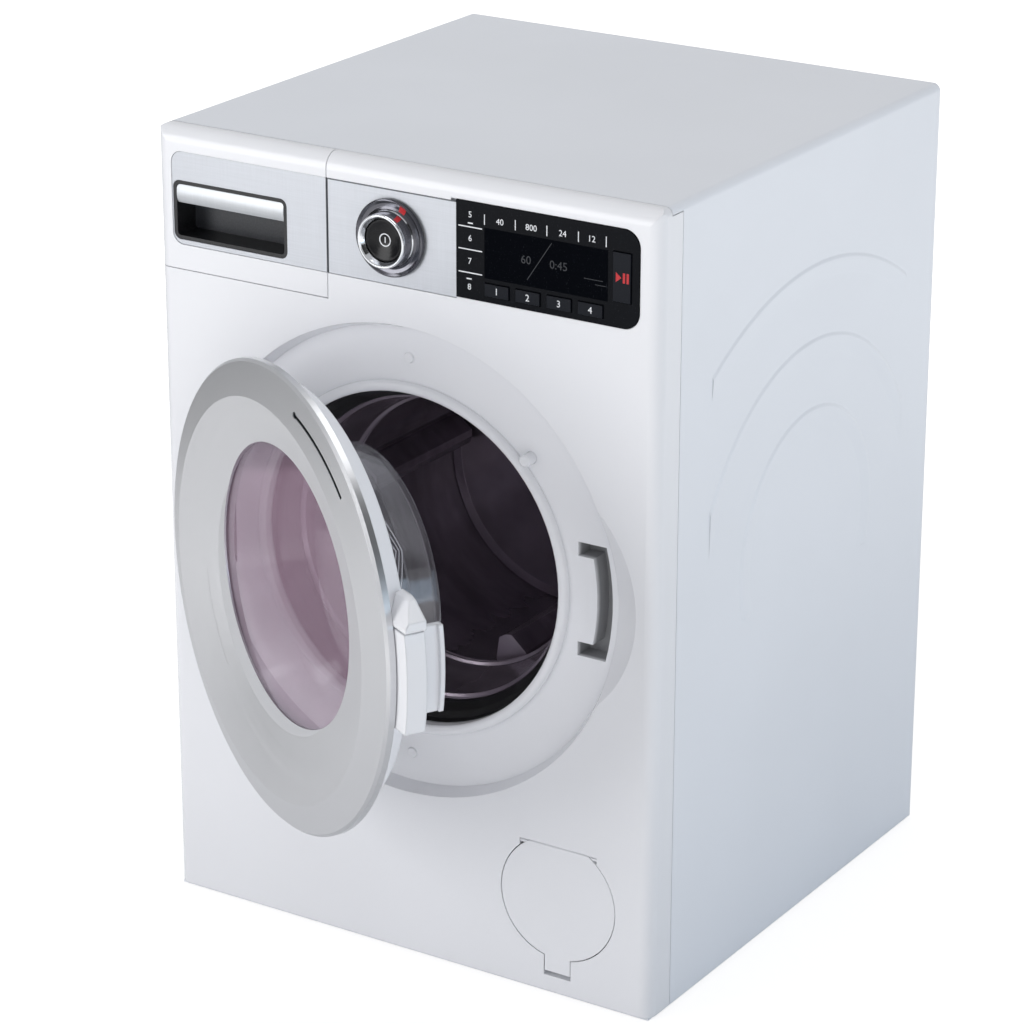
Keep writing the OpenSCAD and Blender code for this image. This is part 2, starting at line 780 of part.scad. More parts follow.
module control_fascia() {
    color("silver") difference() {
        along_y(facing_inset, facing_inset + facing_t)
            strip_outline(notch_x + 0.1, panel_x0 - 0.05, strip_z0, strip_z1, 0, 0);
        rod_y(knob_x, strip_mid_z, -1, wall, hub_knob_r + 0.3);
    }
}

module display_panel() {
    color([0.05, 0.05, 0.07]) difference() {
        along_y(panel_front, strip_t - 0.05)
            strip_outline(panel_x0 + 0.05, panel_x1, strip_z0 + 0.5, strip_z1 + 0.8, 0, panel_r);
        along_y(panel_front - 1, wall) key_holes(key_gap);
    }
}

// A sprung key: cap, stem and retaining flange
module key(x, z, w, h) {
    color([0.08, 0.08, 0.1]) {
        along_y(key_front, key_end) translate([x - w / 2, z - h / 2]) square([w, h]);
        along_y(key_flange_t, key_flange_t + 0.8)
            translate([x - w / 2 - flange_lip, z - h / 2 - flange_lip])
                square([w + 2 * flange_lip, h + 2 * flange_lip]);
    }
}

module start_button() key(start_x, start_z, start_w, start_h);
module programme_button(i) key(key_x0 + i * key_pitch, key_z, key_w, key_h);
module programme_button_1() programme_button(0);
module programme_button_2() programme_button(1);
module programme_button_3() programme_button(2);
module programme_button_4() programme_button(3);

module programme_knob() {
    f = -0.4;
    crown_r = knob_r - 3.8;
    // Crown with a rounded lip over a low hollowed skirt
    color([0.35, 0.35, 0.38]) revolve_y(knob_x, strip_mid_z)
        polygon([[power_r + 0.25, -knob_h + 1.6], [crown_r - 1, -knob_h + 0.3], [crown_r - 0.7, -knob_h],
            [crown_r - 0.35, -knob_h], [crown_r - 0.1, -knob_h + 0.15], [crown_r, -knob_h + 0.45],
            [crown_r + 0.2, -1.7], [crown_r + 0.6, -1.1], [crown_r + 1.3, -0.85],
            [crown_r + 2.4, -1], [knob_r - 0.5, -1.45], [knob_r - 0.15, -1.3], [knob_r, f - 0.5],
            [knob_r, f], [hub_knob_r, f], [hub_knob_r, hub_knob_end], [power_r + 0.25, hub_knob_end]]);
}

module knob_retainer() {
    color("gainsboro") difference() {
        rod_y(knob_x, strip_mid_z, wall + 0.3, wall + 1.8, hub_knob_r + 2);
        rod_y(knob_x, strip_mid_z, 0, wall + 3, hub_knob_r);
    }
}

module power_button() {
    rim = -knob_h + 1.9;
    color([0.08, 0.08, 0.1]) {
        revolve_y(knob_x, strip_mid_z)
            polygon(concat([[0, rim + 4.4], [0, rim + 0.9]],
                [for (i = [1:6]) let (r = (power_r - 0.6) * i / 6)
                    [r, rim + 0.9 - 0.9 * pow(i / 6, 2)]],
                [[power_r - 0.1, rim], [power_r, rim + 0.2], [power_r, rim + 4.4]]));
        rod_y(knob_x, strip_mid_z, rim + 4.3, board_t - 0.4 - key_travel, 2.6);
    }
}

module knob_switch() {
    color("silver") difference() {
        rod_y(knob_x, strip_mid_z, hub_knob_end + 0.5, board_t, knob_r - 1.4);
        rod_y(knob_x, strip_mid_z, hub_knob_end, board_t + 1, 2.6 + run_gap);
    }
}

module keypad_mat() {
    color("dimgray") {
        difference() {
            along_y(board_t - 1.4, board_t)
                strip_outline(panel_x0 + 7, panel_x1 - 0.5, strip_z0 - 1, strip_z1 - 3, 1, 1);
            for (x = [board_x1 - 3], z = [board_z0 + 3, board_z1 - 3])
                rod_y(x, z, 0, board_t + 1, 3);
        }
        for (i = [0:3])
            rod_y(key_x0 + i * key_pitch, key_z, mat_t, board_t - 1.3, 1.2, 1.8);
        for (s = [-1, 1]) rod_y(start_x, start_z + s * 4, mat_t, board_t - 1.3, 1.2, 1.8);
    }
}

module circuit_board() {
    color("darkgreen") difference() {
        along_y(board_t, board_t + board_h)
            strip_outline(board_x0, board_x1, board_z0, board_z1, 1, 1);
        for (x = [board_x0 + 3, board_x1 - 3], z = [board_z0 + 3, board_z1 - 3])
            rod_y(x, z, board_t - 1, board_t + 3, 1.1);
    }
    color([0.1, 0.1, 0.12]) {
        block(20, 34, board_t + board_h - eps, board_t + board_h + 2, board_z0 + 12, board_z0 + 26);
        block(46, 54, board_t + board_h - eps, board_t + board_h + 1.6, board_z0 + 8, board_z0 + 13);
        for (x = [60, 68]) rod_y(x, board_z0 + 24, board_t + board_h - eps, board_t + board_h + 7, 2.5);
    }
}

module board_screws() {
    color("silver") for (x = [board_x0 + 3, board_x1 - 3], z = [board_z0 + 3, board_z1 - 3])
        screw_y(x, z, board_t + board_h, -1, 4.5, 0.9, 2, 1.2);
}

// ---- Drawer ---------------------------------------------------------------------------------

module grip_outline(grow) {
    strip_outline(grip_x0 - grow, grip_x1 + grow, grip_z0 - grow, grip_z1 + grow, 1.2 + grow, 1.2 + grow);
}

module drawer_front() {
    color("white") difference() {
        intersection() {
            cabinet_wall();
            front_zone(-0.2);
            drawer_zone(0);
        }
        along_y(-1, strip_t) strip_outline(facing_x0 - 0.1, drawer_seam_x + 1, strip_z0 - 0.1,
            strip_z1 + 0.1, facing_r, 0);
        along_y(-1, wall + 1) grip_outline(grip_wall + 0.1);
    }
}

module drawer_facing() {
    color("silver") difference() {
        along_y(facing_inset, facing_inset + facing_t)
            strip_outline(facing_x0, drawer_seam_x, strip_z0, strip_z1, facing_r, 0);
        along_y(-1, wall) grip_outline(grip_wall + 0.1);
    }
}

module drawer_grip() {
    color([0.04, 0.04, 0.05]) difference() {
        union() {
            along_y(facing_inset + 0.1, grip_t + grip_wall) grip_outline(grip_wall);
            along_y(wall, wall + 1) grip_outline(grip_wall + 1.4);
        }
        along_y(-1, grip_t) grip_outline(0);
    }
}

module drawer_strip() {
    z0 = grip_z1 - grip_strip_h;
    color([0.85, 0.85, 0.86]) intersection() {
        along_x(grip_x0, grip_x1) intersection() {
            translate([front_y, z0]) square([3, grip_strip_h]);
            translate([front_y + facing_inset + 8, (z0 + grip_z1) / 2]) circle(8);
        }
        along_y(0, 4) grip_outline(-0.05);
    }
}

module drawer_tray() {
    cup_x0 = grip_x0 - grip_wall - 0.3;
    cup_x1 = grip_x1 + grip_wall + 0.3;
    pocket_t = grip_t + grip_wall + tray_wall + 0.6;
    bay = (tray_x1 - tray_x0 - 4 * tray_wall) / 3;
    color("whitesmoke") difference() {
        block(tray_x0, tray_x1, wall, tray_t1, tray_z0, tray_z1);
        for (i = [0:2]) {
            x0 = tray_x0 + tray_wall + i * (bay + tray_wall);
            block(x0, x0 + bay, pocket_t, tray_t1 - tray_wall, tray_z0 + tray_wall + (i == 1 ? 10 : 0),
                tray_z1 + 1);
        }
        block(cup_x0, cup_x1, 0, pocket_t - tray_wall, tray_z0 + tray_wall, tray_z1 + 1);
        block(tray_x0 - 1, cup_x1 + 1.6, 0, wall + 1.2, tray_z0 + tray_wall, tray_z1 + 1);
        // Scalloped edge, lower in the middle
        along_y(pocket_t, tray_t1 - tray_wall) translate([(tray_x0 + tray_x1) / 2, tray_z1 + 34])
            circle(40, $fn = 96);
    }
}

module drawer_guide() {
    x0 = tray_x0 - tray_gap;
    x1 = tray_x1 + tray_gap;
    z0 = tray_z0 - tray_gap;
    z1 = tray_z1 + tray_gap;
    color("lightgray") difference() {
        union() {
            block(x0 - guide_wall, x1 + guide_wall, guide_t0, tray_t1 + 2.6, z0 - guide_wall, z1 + guide_wall);
            block(0.3 - inner_half, notch_x, guide_t0, guide_t0 + 1.4, notch_z - 1, body_h - wall - 0.2);
            // Sill and cheek that close the gap behind the drawer front
            block(x0, x1 + guide_wall, wall + 0.4, guide_t0 + eps, z0 - guide_wall, z0);
            block(x1, x1 + guide_wall, wall + 0.4, guide_t0 + eps, z0 - guide_wall, z1 + guide_wall);
        }
        block(x0, x1, 0, tray_t1 + 1.2, z0, z1);
    }
}

// ---- Drum and drive -------------------------------------------------------------------------

module tub() {
    color("gainsboro") difference() {
        union() {
            rod_y(0, door_z, gasket_t, tub_end, tub_out);
            rod_y(0, door_z, tub_end - eps, tub_end + 3, hub_r);
            rod_y(idler_x, idler_z, tub_end - eps, tub_end + 3, pin_r + 2.5);
            for (p = posts) rod_y(p[0], door_z + p[1], tub_end - eps, plate_t0, post_r);
            for (a = ear_angles)
                translate([0, 0, door_z]) rotate([0, -a, 0]) {
                    translate([0, front_y + gasket_t, 0]) {
                        translate([tub_r + 1, 0, -3.4]) cube([ear_r - tub_r - 1, 2, 6.8]);
                        translate([ear_r, 0, 0]) rotate([-90, 0, 0]) cylinder(h = 2, r = 3.4);
                    }
                }
            // Stiffening hoops
            for (t = [40, 70]) rod_y(0, door_z, t, t + 2, tub_out + 1.5);
        }
        rod_y(0, door_z, gasket_t - 1, tub_back, tub_r);
        rod_y(0, door_z, tub_back - 1, tub_end + 4, bush_r);
        rod_y(idler_x, idler_z, tub_end, tub_end + 4, pin_r);
        for (p = posts) rod_y(p[0], door_z + p[1], plate_t0 - 8, plate_t0 + 1, 1.2);
        for (a = ear_angles) rod_y(ear_r * cos(a), door_z + ear_r * sin(a), 0, gasket_t + 3, 1.1);
    }
}

module tub_screws() {
    color("silver") for (a = ear_angles)
        screw_y(ear_r * cos(a), door_z + ear_r * sin(a), gasket_t + 2, -1, 4.2, 0.95, 2.2, 1.4);
}

module door_gasket() {
    color([0.06, 0.06, 0.06]) revolve_y(0, door_z)
        polygon([[opening_r + 0.2, floor_back], [tub_out, floor_back], [tub_out, gasket_t],
            [tub_r - 0.05, gasket_t], [tub_r - 0.05, gasket_t + 2.5], [drum_r + 2.4, gasket_end],
            [drum_r + 0.3, gasket_end], [drum_r + 0.6, gasket_end - 1.5], [drum_r + 2.6, floor_back + 4],
            [opening_r - 0.6, floor_back + 2]]);
}

module shaft_bush() {
    color("darkgoldenrod") revolve_y(0, door_z)
        polygon([[shaft_r + run_gap, tub_back - 1.4], [bush_r + 2.5, tub_back - 1.4],
            [bush_r + 2.5, tub_back], [bush_r, tub_back], [bush_r, tub_end + 3],
            [shaft_r + run_gap, tub_end + 3]]);
}

module drum() {
    w = drum_wall;
    color([0.2, 0.19, 0.21]) revolve_y(0, door_z)
        polygon([
            // Inside, from the mouth to the back
            [drum_r, drum_t0 + 0.4], [drum_r - 0.9, drum_t0 + 0.9], [drum_r - 0.9, drum_t0 + 1.5],
            [drum_r - 0.3, drum_t0 + 2], [drum_back_r + 0.1, shoulder_t - 1.2],
            [drum_back_r - 0.9, shoulder_t - 0.6], [drum_back_r - 0.9, shoulder_t],
            [drum_back_r - 0.3, shoulder_t + 0.5], [drum_back_r - 0.9, shoulder_t + 1],
            [drum_back_r - 0.9, shoulder_t + 1.6], [drum_back_r, shoulder_t + 2.2],
            [drum_back_r, drum_t1 - w - 2], [drum_back_r - 2, drum_t1 - w],
            [shaft_r + 7, drum_t1 - w], [shaft_r + 3, drum_t1 - w - 5], [shaft_r, drum_t1 - w - 5],
            // Outside, from the hub back to the mouth
            [shaft_r, drum_t1 + 0.9], [shaft_r + 2.4, drum_t1 + 0.9], [shaft_r + 2.4, drum_t1],
            [drum_back_r, drum_t1], [drum_back_r + w, drum_t1 - 1.6], [drum_back_r + w, shoulder_t + 1],
            [drum_r + w, drum_t0 + 2], [drum_r + w, drum_t0 + 0.4], [drum_r + w - 0.4, drum_t0],
            [drum_r + 0.4, drum_t0]]);
}

module drum_paddles() {
    color([0.3, 0.29, 0.31]) intersection() {
        for (a = [50:120:290]) translate([0, 0, door_z]) rotate([0, -a, 0])
            translate([0, front_y + shoulder_t + 4, 0]) rotate([-90, 0, 0])
                linear_extrude(drum_t1 - drum_wall - shoulder_t - 8)
                    polygon([[drum_back_r + 2, -6.5], [drum_back_r - 1.5, -6], [drum_back_r - paddle_h, -2.5],
                        [drum_back_r - paddle_h - 0.5, 0], [drum_back_r - paddle_h, 2.5],
                        [drum_back_r - 1.5, 6], [drum_back_r + 2, 6.5]]);
        rod_y(0, door_z, 0, body_d, drum_back_r);
    }
}

module drum_shaft() {
    color("silver") {
        rod_y(0, door_z, drum_t1 - drum_wall - 4.6, plate_t0 + plate_h + 1, shaft_r);
    }
}

module drum_gear() {
    color("ivory") difference() {
        union() {
            gear_y(0, door_z, drum_teeth, drum_angle, gear_t0, gear_t0 + gear_w);
            rod_y(0, door_z, tub_end + 3.3, plate_t0 - 0.4, shaft_r + 3);
        }
        rod_y(0, door_z, tub_end, plate_t0 + 1, shaft_r);
        // Lightening holes
        for (a = [0:60:300])
            rod_y(13 * cos(a), door_z + 13 * sin(a), gear_t0 - 1, gear_t0 + gear_w + 1, 4);
    }
}

module idler_gear() {
    small = drum_angle + 180 + 180 / idler_small_teeth;
    color("ivory") difference() {
        union() {
            gear_y(idler_x, idler_z, idler_small_teeth, small, gear_t0 - 0.5, large_t0 + eps);
            gear_y(idler_x, idler_z, idler_large_teeth, motor_angle, large_t0, large_t0 + gear_w);
            rod_y(idler_x, idler_z, tub_end + 3.3, plate_t0 - 0.4, pin_r + 2.2);
        }
        rod_y(idler_x, idler_z, tub_end, plate_t0 + 1, pin_r + run_gap);
    }
}

module motor_pinion() {
    phase = motor_angle + 180 + 180 / pinion_teeth;
    color("darkgoldenrod") {
        gear_y(motor_x, motor_z, pinion_teeth, phase, large_t0 - 0.4, large_t0 + gear_w + 0.4);
        rod_y(motor_x, motor_z, large_t0 - 1, motor_t0 + 14, 1);
    }
}

module idler_pin() {
    color("silver") rod_y(idler_x, idler_z, tub_end, plate_t0 + plate_h, pin_r);
}

module gearbox_plate() {
    color("dimgray") difference() {
        union() {
            along_y(plate_t0, plate_t0 + plate_h)
                strip_outline(-36, 39, door_z - 50, door_z + 26, 5, 5);
            rod_y(0, door_z, plate_t0 + plate_h - eps, plate_t0 + plate_h + 2, shaft_r + 3);
            rod_y(idler_x, idler_z, plate_t0 + plate_h - eps, plate_t0 + plate_h + 1.5, pin_r + 2);
        }
        rod_y(0, door_z, plate_t0 - 1, plate_t0 + plate_h + 3, shaft_r + run_gap);
        rod_y(idler_x, idler_z, plate_t0 - 1, plate_t0 + plate_h, pin_r);
        rod_y(motor_x, motor_z, plate_t0 - 1, plate_t0 + plate_h + 1, 3.3);
        for (p = posts) rod_y(p[0], door_z + p[1], plate_t0 - 1, plate_t0 + plate_h + 1, 1.4);
    }
}

module gearbox_screws() {
    color("silver") for (p = posts)
        screw_y(p[0], door_z + p[1], plate_t0 + plate_h, -1, 8, 1.1, 2.8, 1.6);
}

module drive_motor() {
    color("silver") difference() {
        union() {
            intersection() {
                rod_y(motor_x, motor_z, motor_t0, motor_t0 + motor_l, motor_r);
                block(motor_x - motor_r, motor_x + motor_r, motor_t0, motor_t0 + motor_l,
                    motor_z - motor_r * 0.76, motor_z + motor_r * 0.76);
            }
            rod_y(motor_x, motor_z, motor_t0 - 1.6, motor_t0 + 1, 3);
            rod_y(motor_x, motor_z, motor_t0 + motor_l - 1, motor_t0 + motor_l + 2, 4);
        }
        rod_y(motor_x, motor_z, motor_t0 - 3, motor_t0 + 16, 1 + run_gap);
    }
}

// ---- Rear electrics -------------------------------------------------------------------------

module speaker() {
    color("dimgray") {
        rod_y(speaker_x, speaker_z, cover_t - 3, cover_t, speaker_r);
        rod_y(speaker_x, speaker_z, cover_t - 7, cover_t - 3 + eps, speaker_r * 0.45, speaker_r * 0.9);
        rod_y(speaker_x, speaker_z, cover_t - 11, cover_t - 7 + eps, speaker_r * 0.6);
    }
}

// Height of the middle of battery cell i
function cell_z(i) = bay_z0 + bay_h / 2 + (i - 1) * (2 * cell_r + 0.6);

module battery_box() {
    x = bay_w / 2;
    color("gainsboro") difference() {
        block(-x, x, cover_t - bay_d - bay_wall, cover_t - 1.3, bay_z0, bay_z1);
        block(-x + bay_wall, x - bay_wall, cover_t - bay_d, cover_t, bay_z0 + bay_wall * 0.5, bay_z1
            - bay_wall * 0.5);
        // Slots that hold the contacts
        for (s = [-1, 1], i = [0:2])
            block(s * x - (s > 0 ? bay_wall + 1 : -0.6), s * x + (s > 0 ? -0.6 : bay_wall + 1),
                cell_t - 2, cover_t, cell_z(i) - 3, cell_z(i) + 3);
    }
}

module battery_contacts() {
    color("silver") for (i = [0:2]) {
        // Which side the cell's nub is on
        s = i == 1 ? -1 : 1;
        for (x = [contact_x, -contact_x - 0.6])
            translate([x, front_y + cell_t - 1.9, cell_z(i) - 2.9]) cube([0.6, 6, 5.8]);
        // Cone spring at the flat end of the cell
        for (k = [0:3])
            translate([-s * (contact_x - 0.75 - k * 1.4), front_y + cell_t, cell_z(i)]) rotate([0, 90, 0])
                rotate_extrude($fn = 32) translate([4.2 - k * 0.6, 0]) circle(0.35, $fn = 16);
    }
}

module battery_cells() {
    color("darkslategray") for (i = [0:2]) {
        s = i == 1 ? -1 : 1;
        translate([s * (contact_x - cell_l - 0.02), front_y + cell_t, cell_z(i)]) rotate([0, s * 90, 0]) {
            cylinder(h = cell_l - 1.2, r = cell_r);
            cylinder(h = cell_l, r = 2.6);
        }
    }
}

module battery_door() {
    g = 0.25;
    color("gainsboro") difference() {
        union() {
            block(-bay_w / 2 + g, bay_w / 2 - g, cover_t - 1.2, body_d - 0.2, bay_z0 + g, bay_z1 - g);
            for (z = [bay_z0 + 8, bay_z0 + 12, bay_z0 + 16])
                block(-12, 12, body_d - 0.3, body_d, z, z + 1.6);
        }
        rod_y(0, bay_z1 - 6, cover_t - 2, body_d + 1, 1.5);
        rod_y(0, bay_z1 - 6, cover_t + 1, body_d + 1, 3);
    }
}

module rear_screws() {
    color("silver") {
        for (s = [-1, 1], z = boss_zs) screw_y(s * boss_x, z, cover_t + 1, -1, 12, 1.25, 2.7, 1.1);
        screw_y(0, bay_z1 - 6, cover_t + 1, -1, 2.2, 1.25, 2.7, 1.1);
    }
}

module base_screws() {
    color("silver") for (sx = [-1, 1], sy = [-1, 1])
        translate([sx * base_boss_x, sy * base_boss_y, 1.8]) pan_screw(10, 1.25, 2.8, 1.6);
}

// ---- Hinge and door switch ------------------------------------------------------------------

module hinge_bracket() {
    color("gainsboro") difference() {
        union() {
            block(-hinge_x - 5, -hinge_x + 12.5, floor_back + 3.2, floor_back + 5.4, door_z - bracket_half,
                door_z + bracket_half);
            for (z = [-lug_h / 2, ear_z, -ear_z - ear_h]) {
                h = z == -lug_h / 2 ? lug_h : ear_h;
                block(-hinge_x - 2.8, -hinge_x + 2.8, hinge_t, floor_back + 3.3, door_z + z, door_z + z + h);
                translate([-hinge_x, front_y + hinge_t, door_z + z]) cylinder(h = h, r = 2.8);
            }
            // Feet against the back of the recess floor
            for (s = [-1, 1])
                block(-hinge_x + 2, -hinge_x + 12.5, floor_back, floor_back + 3.3,
                    door_z + s * (bracket_half - 1.5) - 1.5, door_z + s * (bracket_half - 1.5) + 1.5);
        }
        translate([-hinge_x, front_y + hinge_t, door_z - 30]) cylinder(h = 60, r = hinge_pin_r);
    }
}

module hinge_pin() {
    color("silver") translate([-hinge_x, front_y + hinge_t, door_z - ear_z - ear_h])
        cylinder(h = 2 * (ear_z + ear_h), r = hinge_pin_r);
}

module door_switch_pin() {
    color("ivory") {
        rod_y(switch_x, switch_z, 0.8, 1.3, 1.5, 2);
        rod_y(switch_x, switch_z, 1.3 - eps, floor_back + 1.4, 2);
        rod_y(switch_x, switch_z, floor_back + 0.4, floor_back + 1.4, 3);
        rod_y(switch_x, switch_z, floor_back + 1.3, floor_back + 9, 1.2);
    }
}

module switch_housing() {
    color("gainsboro") difference() {
        rod_y(switch_x, switch_z, floor_back, floor_back + 11, 4.2);
        rod_y(switch_x, switch_z, floor_back - 1, floor_back + 9.6, 3.3);
        rod_y(switch_x, switch_z, floor_back, floor_back + 12, 1.2 + 0.2);
    }
}

// A coil spring along Z: r is the middle radius of the turns
module coil(r, wire, h, turns) {
    sides = 6;
    steps = turns * 14;
    points = [for (i = [0:steps], j = [0:sides - 1]) let (
            a = i * 360 / 14,
            b = j * 360 / sides,
            q = r + wire * cos(b))
        [q * cos(a), q * sin(a), wire + (h - 2 * wire) * i / steps + wire * sin(b)]];
    sleeve = [for (i = [0:steps - 1], j = [0:sides - 1]) let (k = (j + 1) % sides)
        [i * sides + k, (i + 1) * sides + k, (i + 1) * sides + j, i * sides + j]];
    polyhedron(points, concat(sleeve, [[for (j = [sides - 1:-1:0]) j],
        [for (j = [0:sides - 1]) steps * sides + j]]));
}

module switch_spring() {
    color("silver") translate([switch_x, front_y + floor_back + 1.5, switch_z]) rotate([-90, 0, 0])
        coil(2.2, 0.3, 8, 5);
}

// ---- Door -----------------------------------------------------------------------------------

// Swings the closed door to where it stands
module swung() {
    translate([-hinge_x, front_y + hinge_t, 0]) rotate([0, 0, -door_open])
        translate([hinge_x, -front_y - hinge_t, 0]) children();
}

module door_front_ring() {
    color("silver") swung() difference() {
        union() {
            revolve_y(0, door_z) polygon([[0, door_t0], [door_r - 0.9, door_t0], [door_r, door_t0 + 0.9],
                [door_r, ring_back], [window_r + 11.5, ring_back], [window_r + 10, thick_back],
                [0, thick_back]]);
            for (a = door_screw_angles)
                rod_y(screw_r * cos(a), door_z + screw_r * sin(a), ring_back - eps, rear_back - rear_wall, 2.6);
        }
        // Dished face and window
        rod_y(dish_face_x, door_z + dish_face_z, door_t0 - 1, door_t0 + 4.2, dish_face_r + 5,
            dish_face_r - 21);
        rod_y(0, door_z + window_up, door_t0 - 1, thick_back + 1, window_r);
        // Curved groove with a round end
        intersection() {
            difference() {
                rod_y(0, door_z, door_t0 - 1, door_t0 + 0.9, groove_r + 0.65);
                rod_y(0, door_z, door_t0 - 2, door_t0 + 2, groove_r - 0.65);
            }
            along_y(door_t0 - 1, door_t0 + 1) translate([0, door_z])
                polygon([[0, 0], [90 * cos(46), 90 * sin(46)], [90 * cos(62), 90 * sin(62)],
                    [90 * cos(76), 90 * sin(76)]]);
        }
        rod_y(groove_r * cos(76), door_z + groove_r * sin(76), door_t0 - 1, door_t0 + 0.9, 1.1);
        for (a = door_screw_angles)
            rod_y(screw_r * cos(a), door_z + screw_r * sin(a), ring_back + 0.4, 1, 0.9);
    }
}

module door_rear_ring() {
    arm = 14;
    color("white") swung() difference() {
        union() {
            difference() {
                revolve_y(0, door_z) polygon([[bowl_hole_r, rear_back - rear_wall],
                    [window_r + 12.5, rear_back - rear_wall], [window_r + 12.5, ring_back],
                    [door_r - 1.8, ring_back], [rear_ring_r + 0.6, rear_back - 0.8],
                    [rear_ring_r, rear_back], [bowl_hole_r, rear_back]]);
                // Hollow all round but for the solid stretch that carries the latch
                difference() {
                    revolve_y(0, door_z) polygon([[window_r + 11, ring_back - 1],
                        [window_r + 11, rear_back - rear_wall], [rear_ring_r - 2.4, rear_back - rear_wall],
                        [door_r - 4.4, ring_back], [door_r - 4.4, ring_back - 1]]);
                    block(0, door_r, ring_back - 2, rear_back, door_z - latch_half_h - 4,
                        door_z + latch_half_h + 9);
                }
            }
            // Hinge arms
            for (s = [-1, 1]) {
                z = door_z + s * (lug_h / 2 + knuckle_gap + knuckle_h / 2) - knuckle_h / 2;
                translate([-hinge_x, front_y + hinge_t, z]) linear_extrude(knuckle_h) {
                    circle(3);
                    rotate(-25) translate([0, -2]) square([arm, 4]);
                }
            }
        }
        // Room for the knuckles' pin
        translate([-hinge_x, front_y + hinge_t, door_z - 30]) cylinder(h = 60, r = hinge_pin_r + run_gap);
        // Latch pocket, wider inside than where the hook leaves it
        latch_sector(hook_r - 9.4, door_r + 9, ring_back - 1, rear_back - 2.2, latch_half_h + 0.4);
        latch_sector(slot_r0 - 1.2, door_r + 9, ring_back - 1, 1, latch_half_h - 1.4);
        translate([spring_x, front_y + spring_t, door_z]) rotate([0, 90, 0])
            cylinder(h = 12, r = spring_r + 0.4);
        for (a = door_screw_angles) {
            rod_y(screw_r * cos(a), door_z + screw_r * sin(a), rear_back - rear_wall - 6, 1, 1.2);
            rod_y(screw_r * cos(a), door_z + screw_r * sin(a), rear_back - 1.1, 1, 2.4);
            rod_y(screw_r * cos(a), door_z + screw_r * sin(a), ring_back - 1, rear_back - rear_wall, 2.6);
        }
    }
}

// A stretch of a ring round the door axis, on the latch side
module latch_sector(r0, r1, t0, t1, half) {
    intersection() {
        difference() {
            rod_y(0, door_z, t0, t1, r1);
            rod_y(0, door_z, t0 - 1, t1 + 1, r0);
        }
        block(0, r1, t0, t1, door_z - half, door_z + half);
    }
}

module door_screws() {
    color("silver") swung() for (a = door_screw_angles)
        screw_y(screw_r * cos(a), door_z + screw_r * sin(a), rear_back - 1.1, -1, 4.6, 0.9, 2.1, 1);
}

module door_window() {
    color([0.62, 0.55, 0.6, 0.4]) swung()
        rod_y(0, door_z + window_up / 2, thick_back, thick_back + pane_t, pane_r);
}

module door_bowl() {
    w = bowl_wall;
    r1 = bowl_r - 2;
    r2 = bowl_r - 3.8;
    r3 = bowl_r - 6.2;
    corner = 2.6;
    color([0.8, 0.8, 0.84, 0.35]) swung() revolve_y(0, door_z)
        polygon(concat(
            [[bowl_r + 5.5, bowl_front + 0.1], [bowl_r + 5.5, rear_back - rear_wall],
                [bowl_r, rear_back - rear_wall], [r1, bowl_step], [r2, bowl_step + 0.6]],
            [for (i = [0:4]) let (a = i * 22.5)
                [r3 - corner + corner * cos(a), bowl_end - corner + corner * sin(a)]],
            [for (i = [1:4])
                let (r = (r3 - corner) * (1 - i / 4)) [r, bowl_end + 1.4 * (1 - pow(1 - i / 4, 2))]],
            [for (i = [4:-1:0]) let (r = (r3 - corner) * (1 - i / 4))
                [r, bowl_end - w + 1.4 * (1 - pow(1 - i / 4, 2))]],
            [[r3 - w, bowl_end - corner], [r2 - w, bowl_step + 1.2], [r1 - w, bowl_step],
                [bowl_r - w, bowl_front + 0.1]]));
}

module latch_block() {
    z = door_z + latch_half_h + 0.8;
    color("white") swung() difference() {
        intersection() {
            along_y(ring_back + 0.1, latch_back)
                polygon([[door_r - 9, z], [latch_r - 0.6, z], [latch_r, z + 0.6], [latch_r - 0.4, z + 3],
                    [door_r - 1, z + 7.4], [door_r - 3, z + 8], [door_r - 9, z + 8]]);
            // Slopes up from behind the ring
            along_x(door_r - 10, latch_r + 1)
                polygon([[front_y + ring_back, z - 1], [front_y + latch_back, z - 1],
                    [front_y + latch_back, z + 8], [front_y + ring_back + 4.6, z + 7.2],
                    [front_y + ring_back + 3.4, z + 5.8], [front_y + ring_back, z + 1.4]]);
        }
        // Seat on the tapering side of the rear ring
        rod_y(0, door_z, ring_back - 1, rear_back, door_r - 1, rear_ring_r + 0.1);
    }
}

module latch_lever() {
    web_r = hook_r - 3.6;
    color("white") swung() difference() {
        union() {
            // Press plate and the web behind the silver ring
            latch_sector(web_r, latch_r - 1.4, ring_back + 0.3, rear_back - 2.5, latch_half_h);
            latch_sector(latch_r - 2.4, latch_r, ring_back + 0.3, latch_back, latch_half_h);
            latch_sector(hook_r - hook_w, latch_r - 1.4, rear_back - 2.6, latch_back, latch_half_h - 2);
            // Hook bar with its nose
            latch_sector(hook_r - hook_w, hook_r, latch_back - 1, floor_back + 2, latch_half_h - 2);
            latch_sector(hook_r - 1, hook_r + 1, floor_back + 0.5, floor_back + 2, latch_half_h - 2);
        }
        // Thinned behind the press face
        latch_sector(hook_r + 1, latch_r - 2.4, rear_back - 5, 1, latch_half_h - 3.6);
        translate([web_r - 2, front_y + spring_t, door_z]) rotate([0, 90, 0])
            cylinder(h = 3.4, r = spring_r + 0.3);
    }
}

module latch_spring() {
    color("silver") swung() translate([spring_x, front_y + spring_t, door_z]) rotate([0, 90, 0])
        coil(spring_r - 0.3, 0.3, hook_r - 2.3 - spring_x, 5);
}

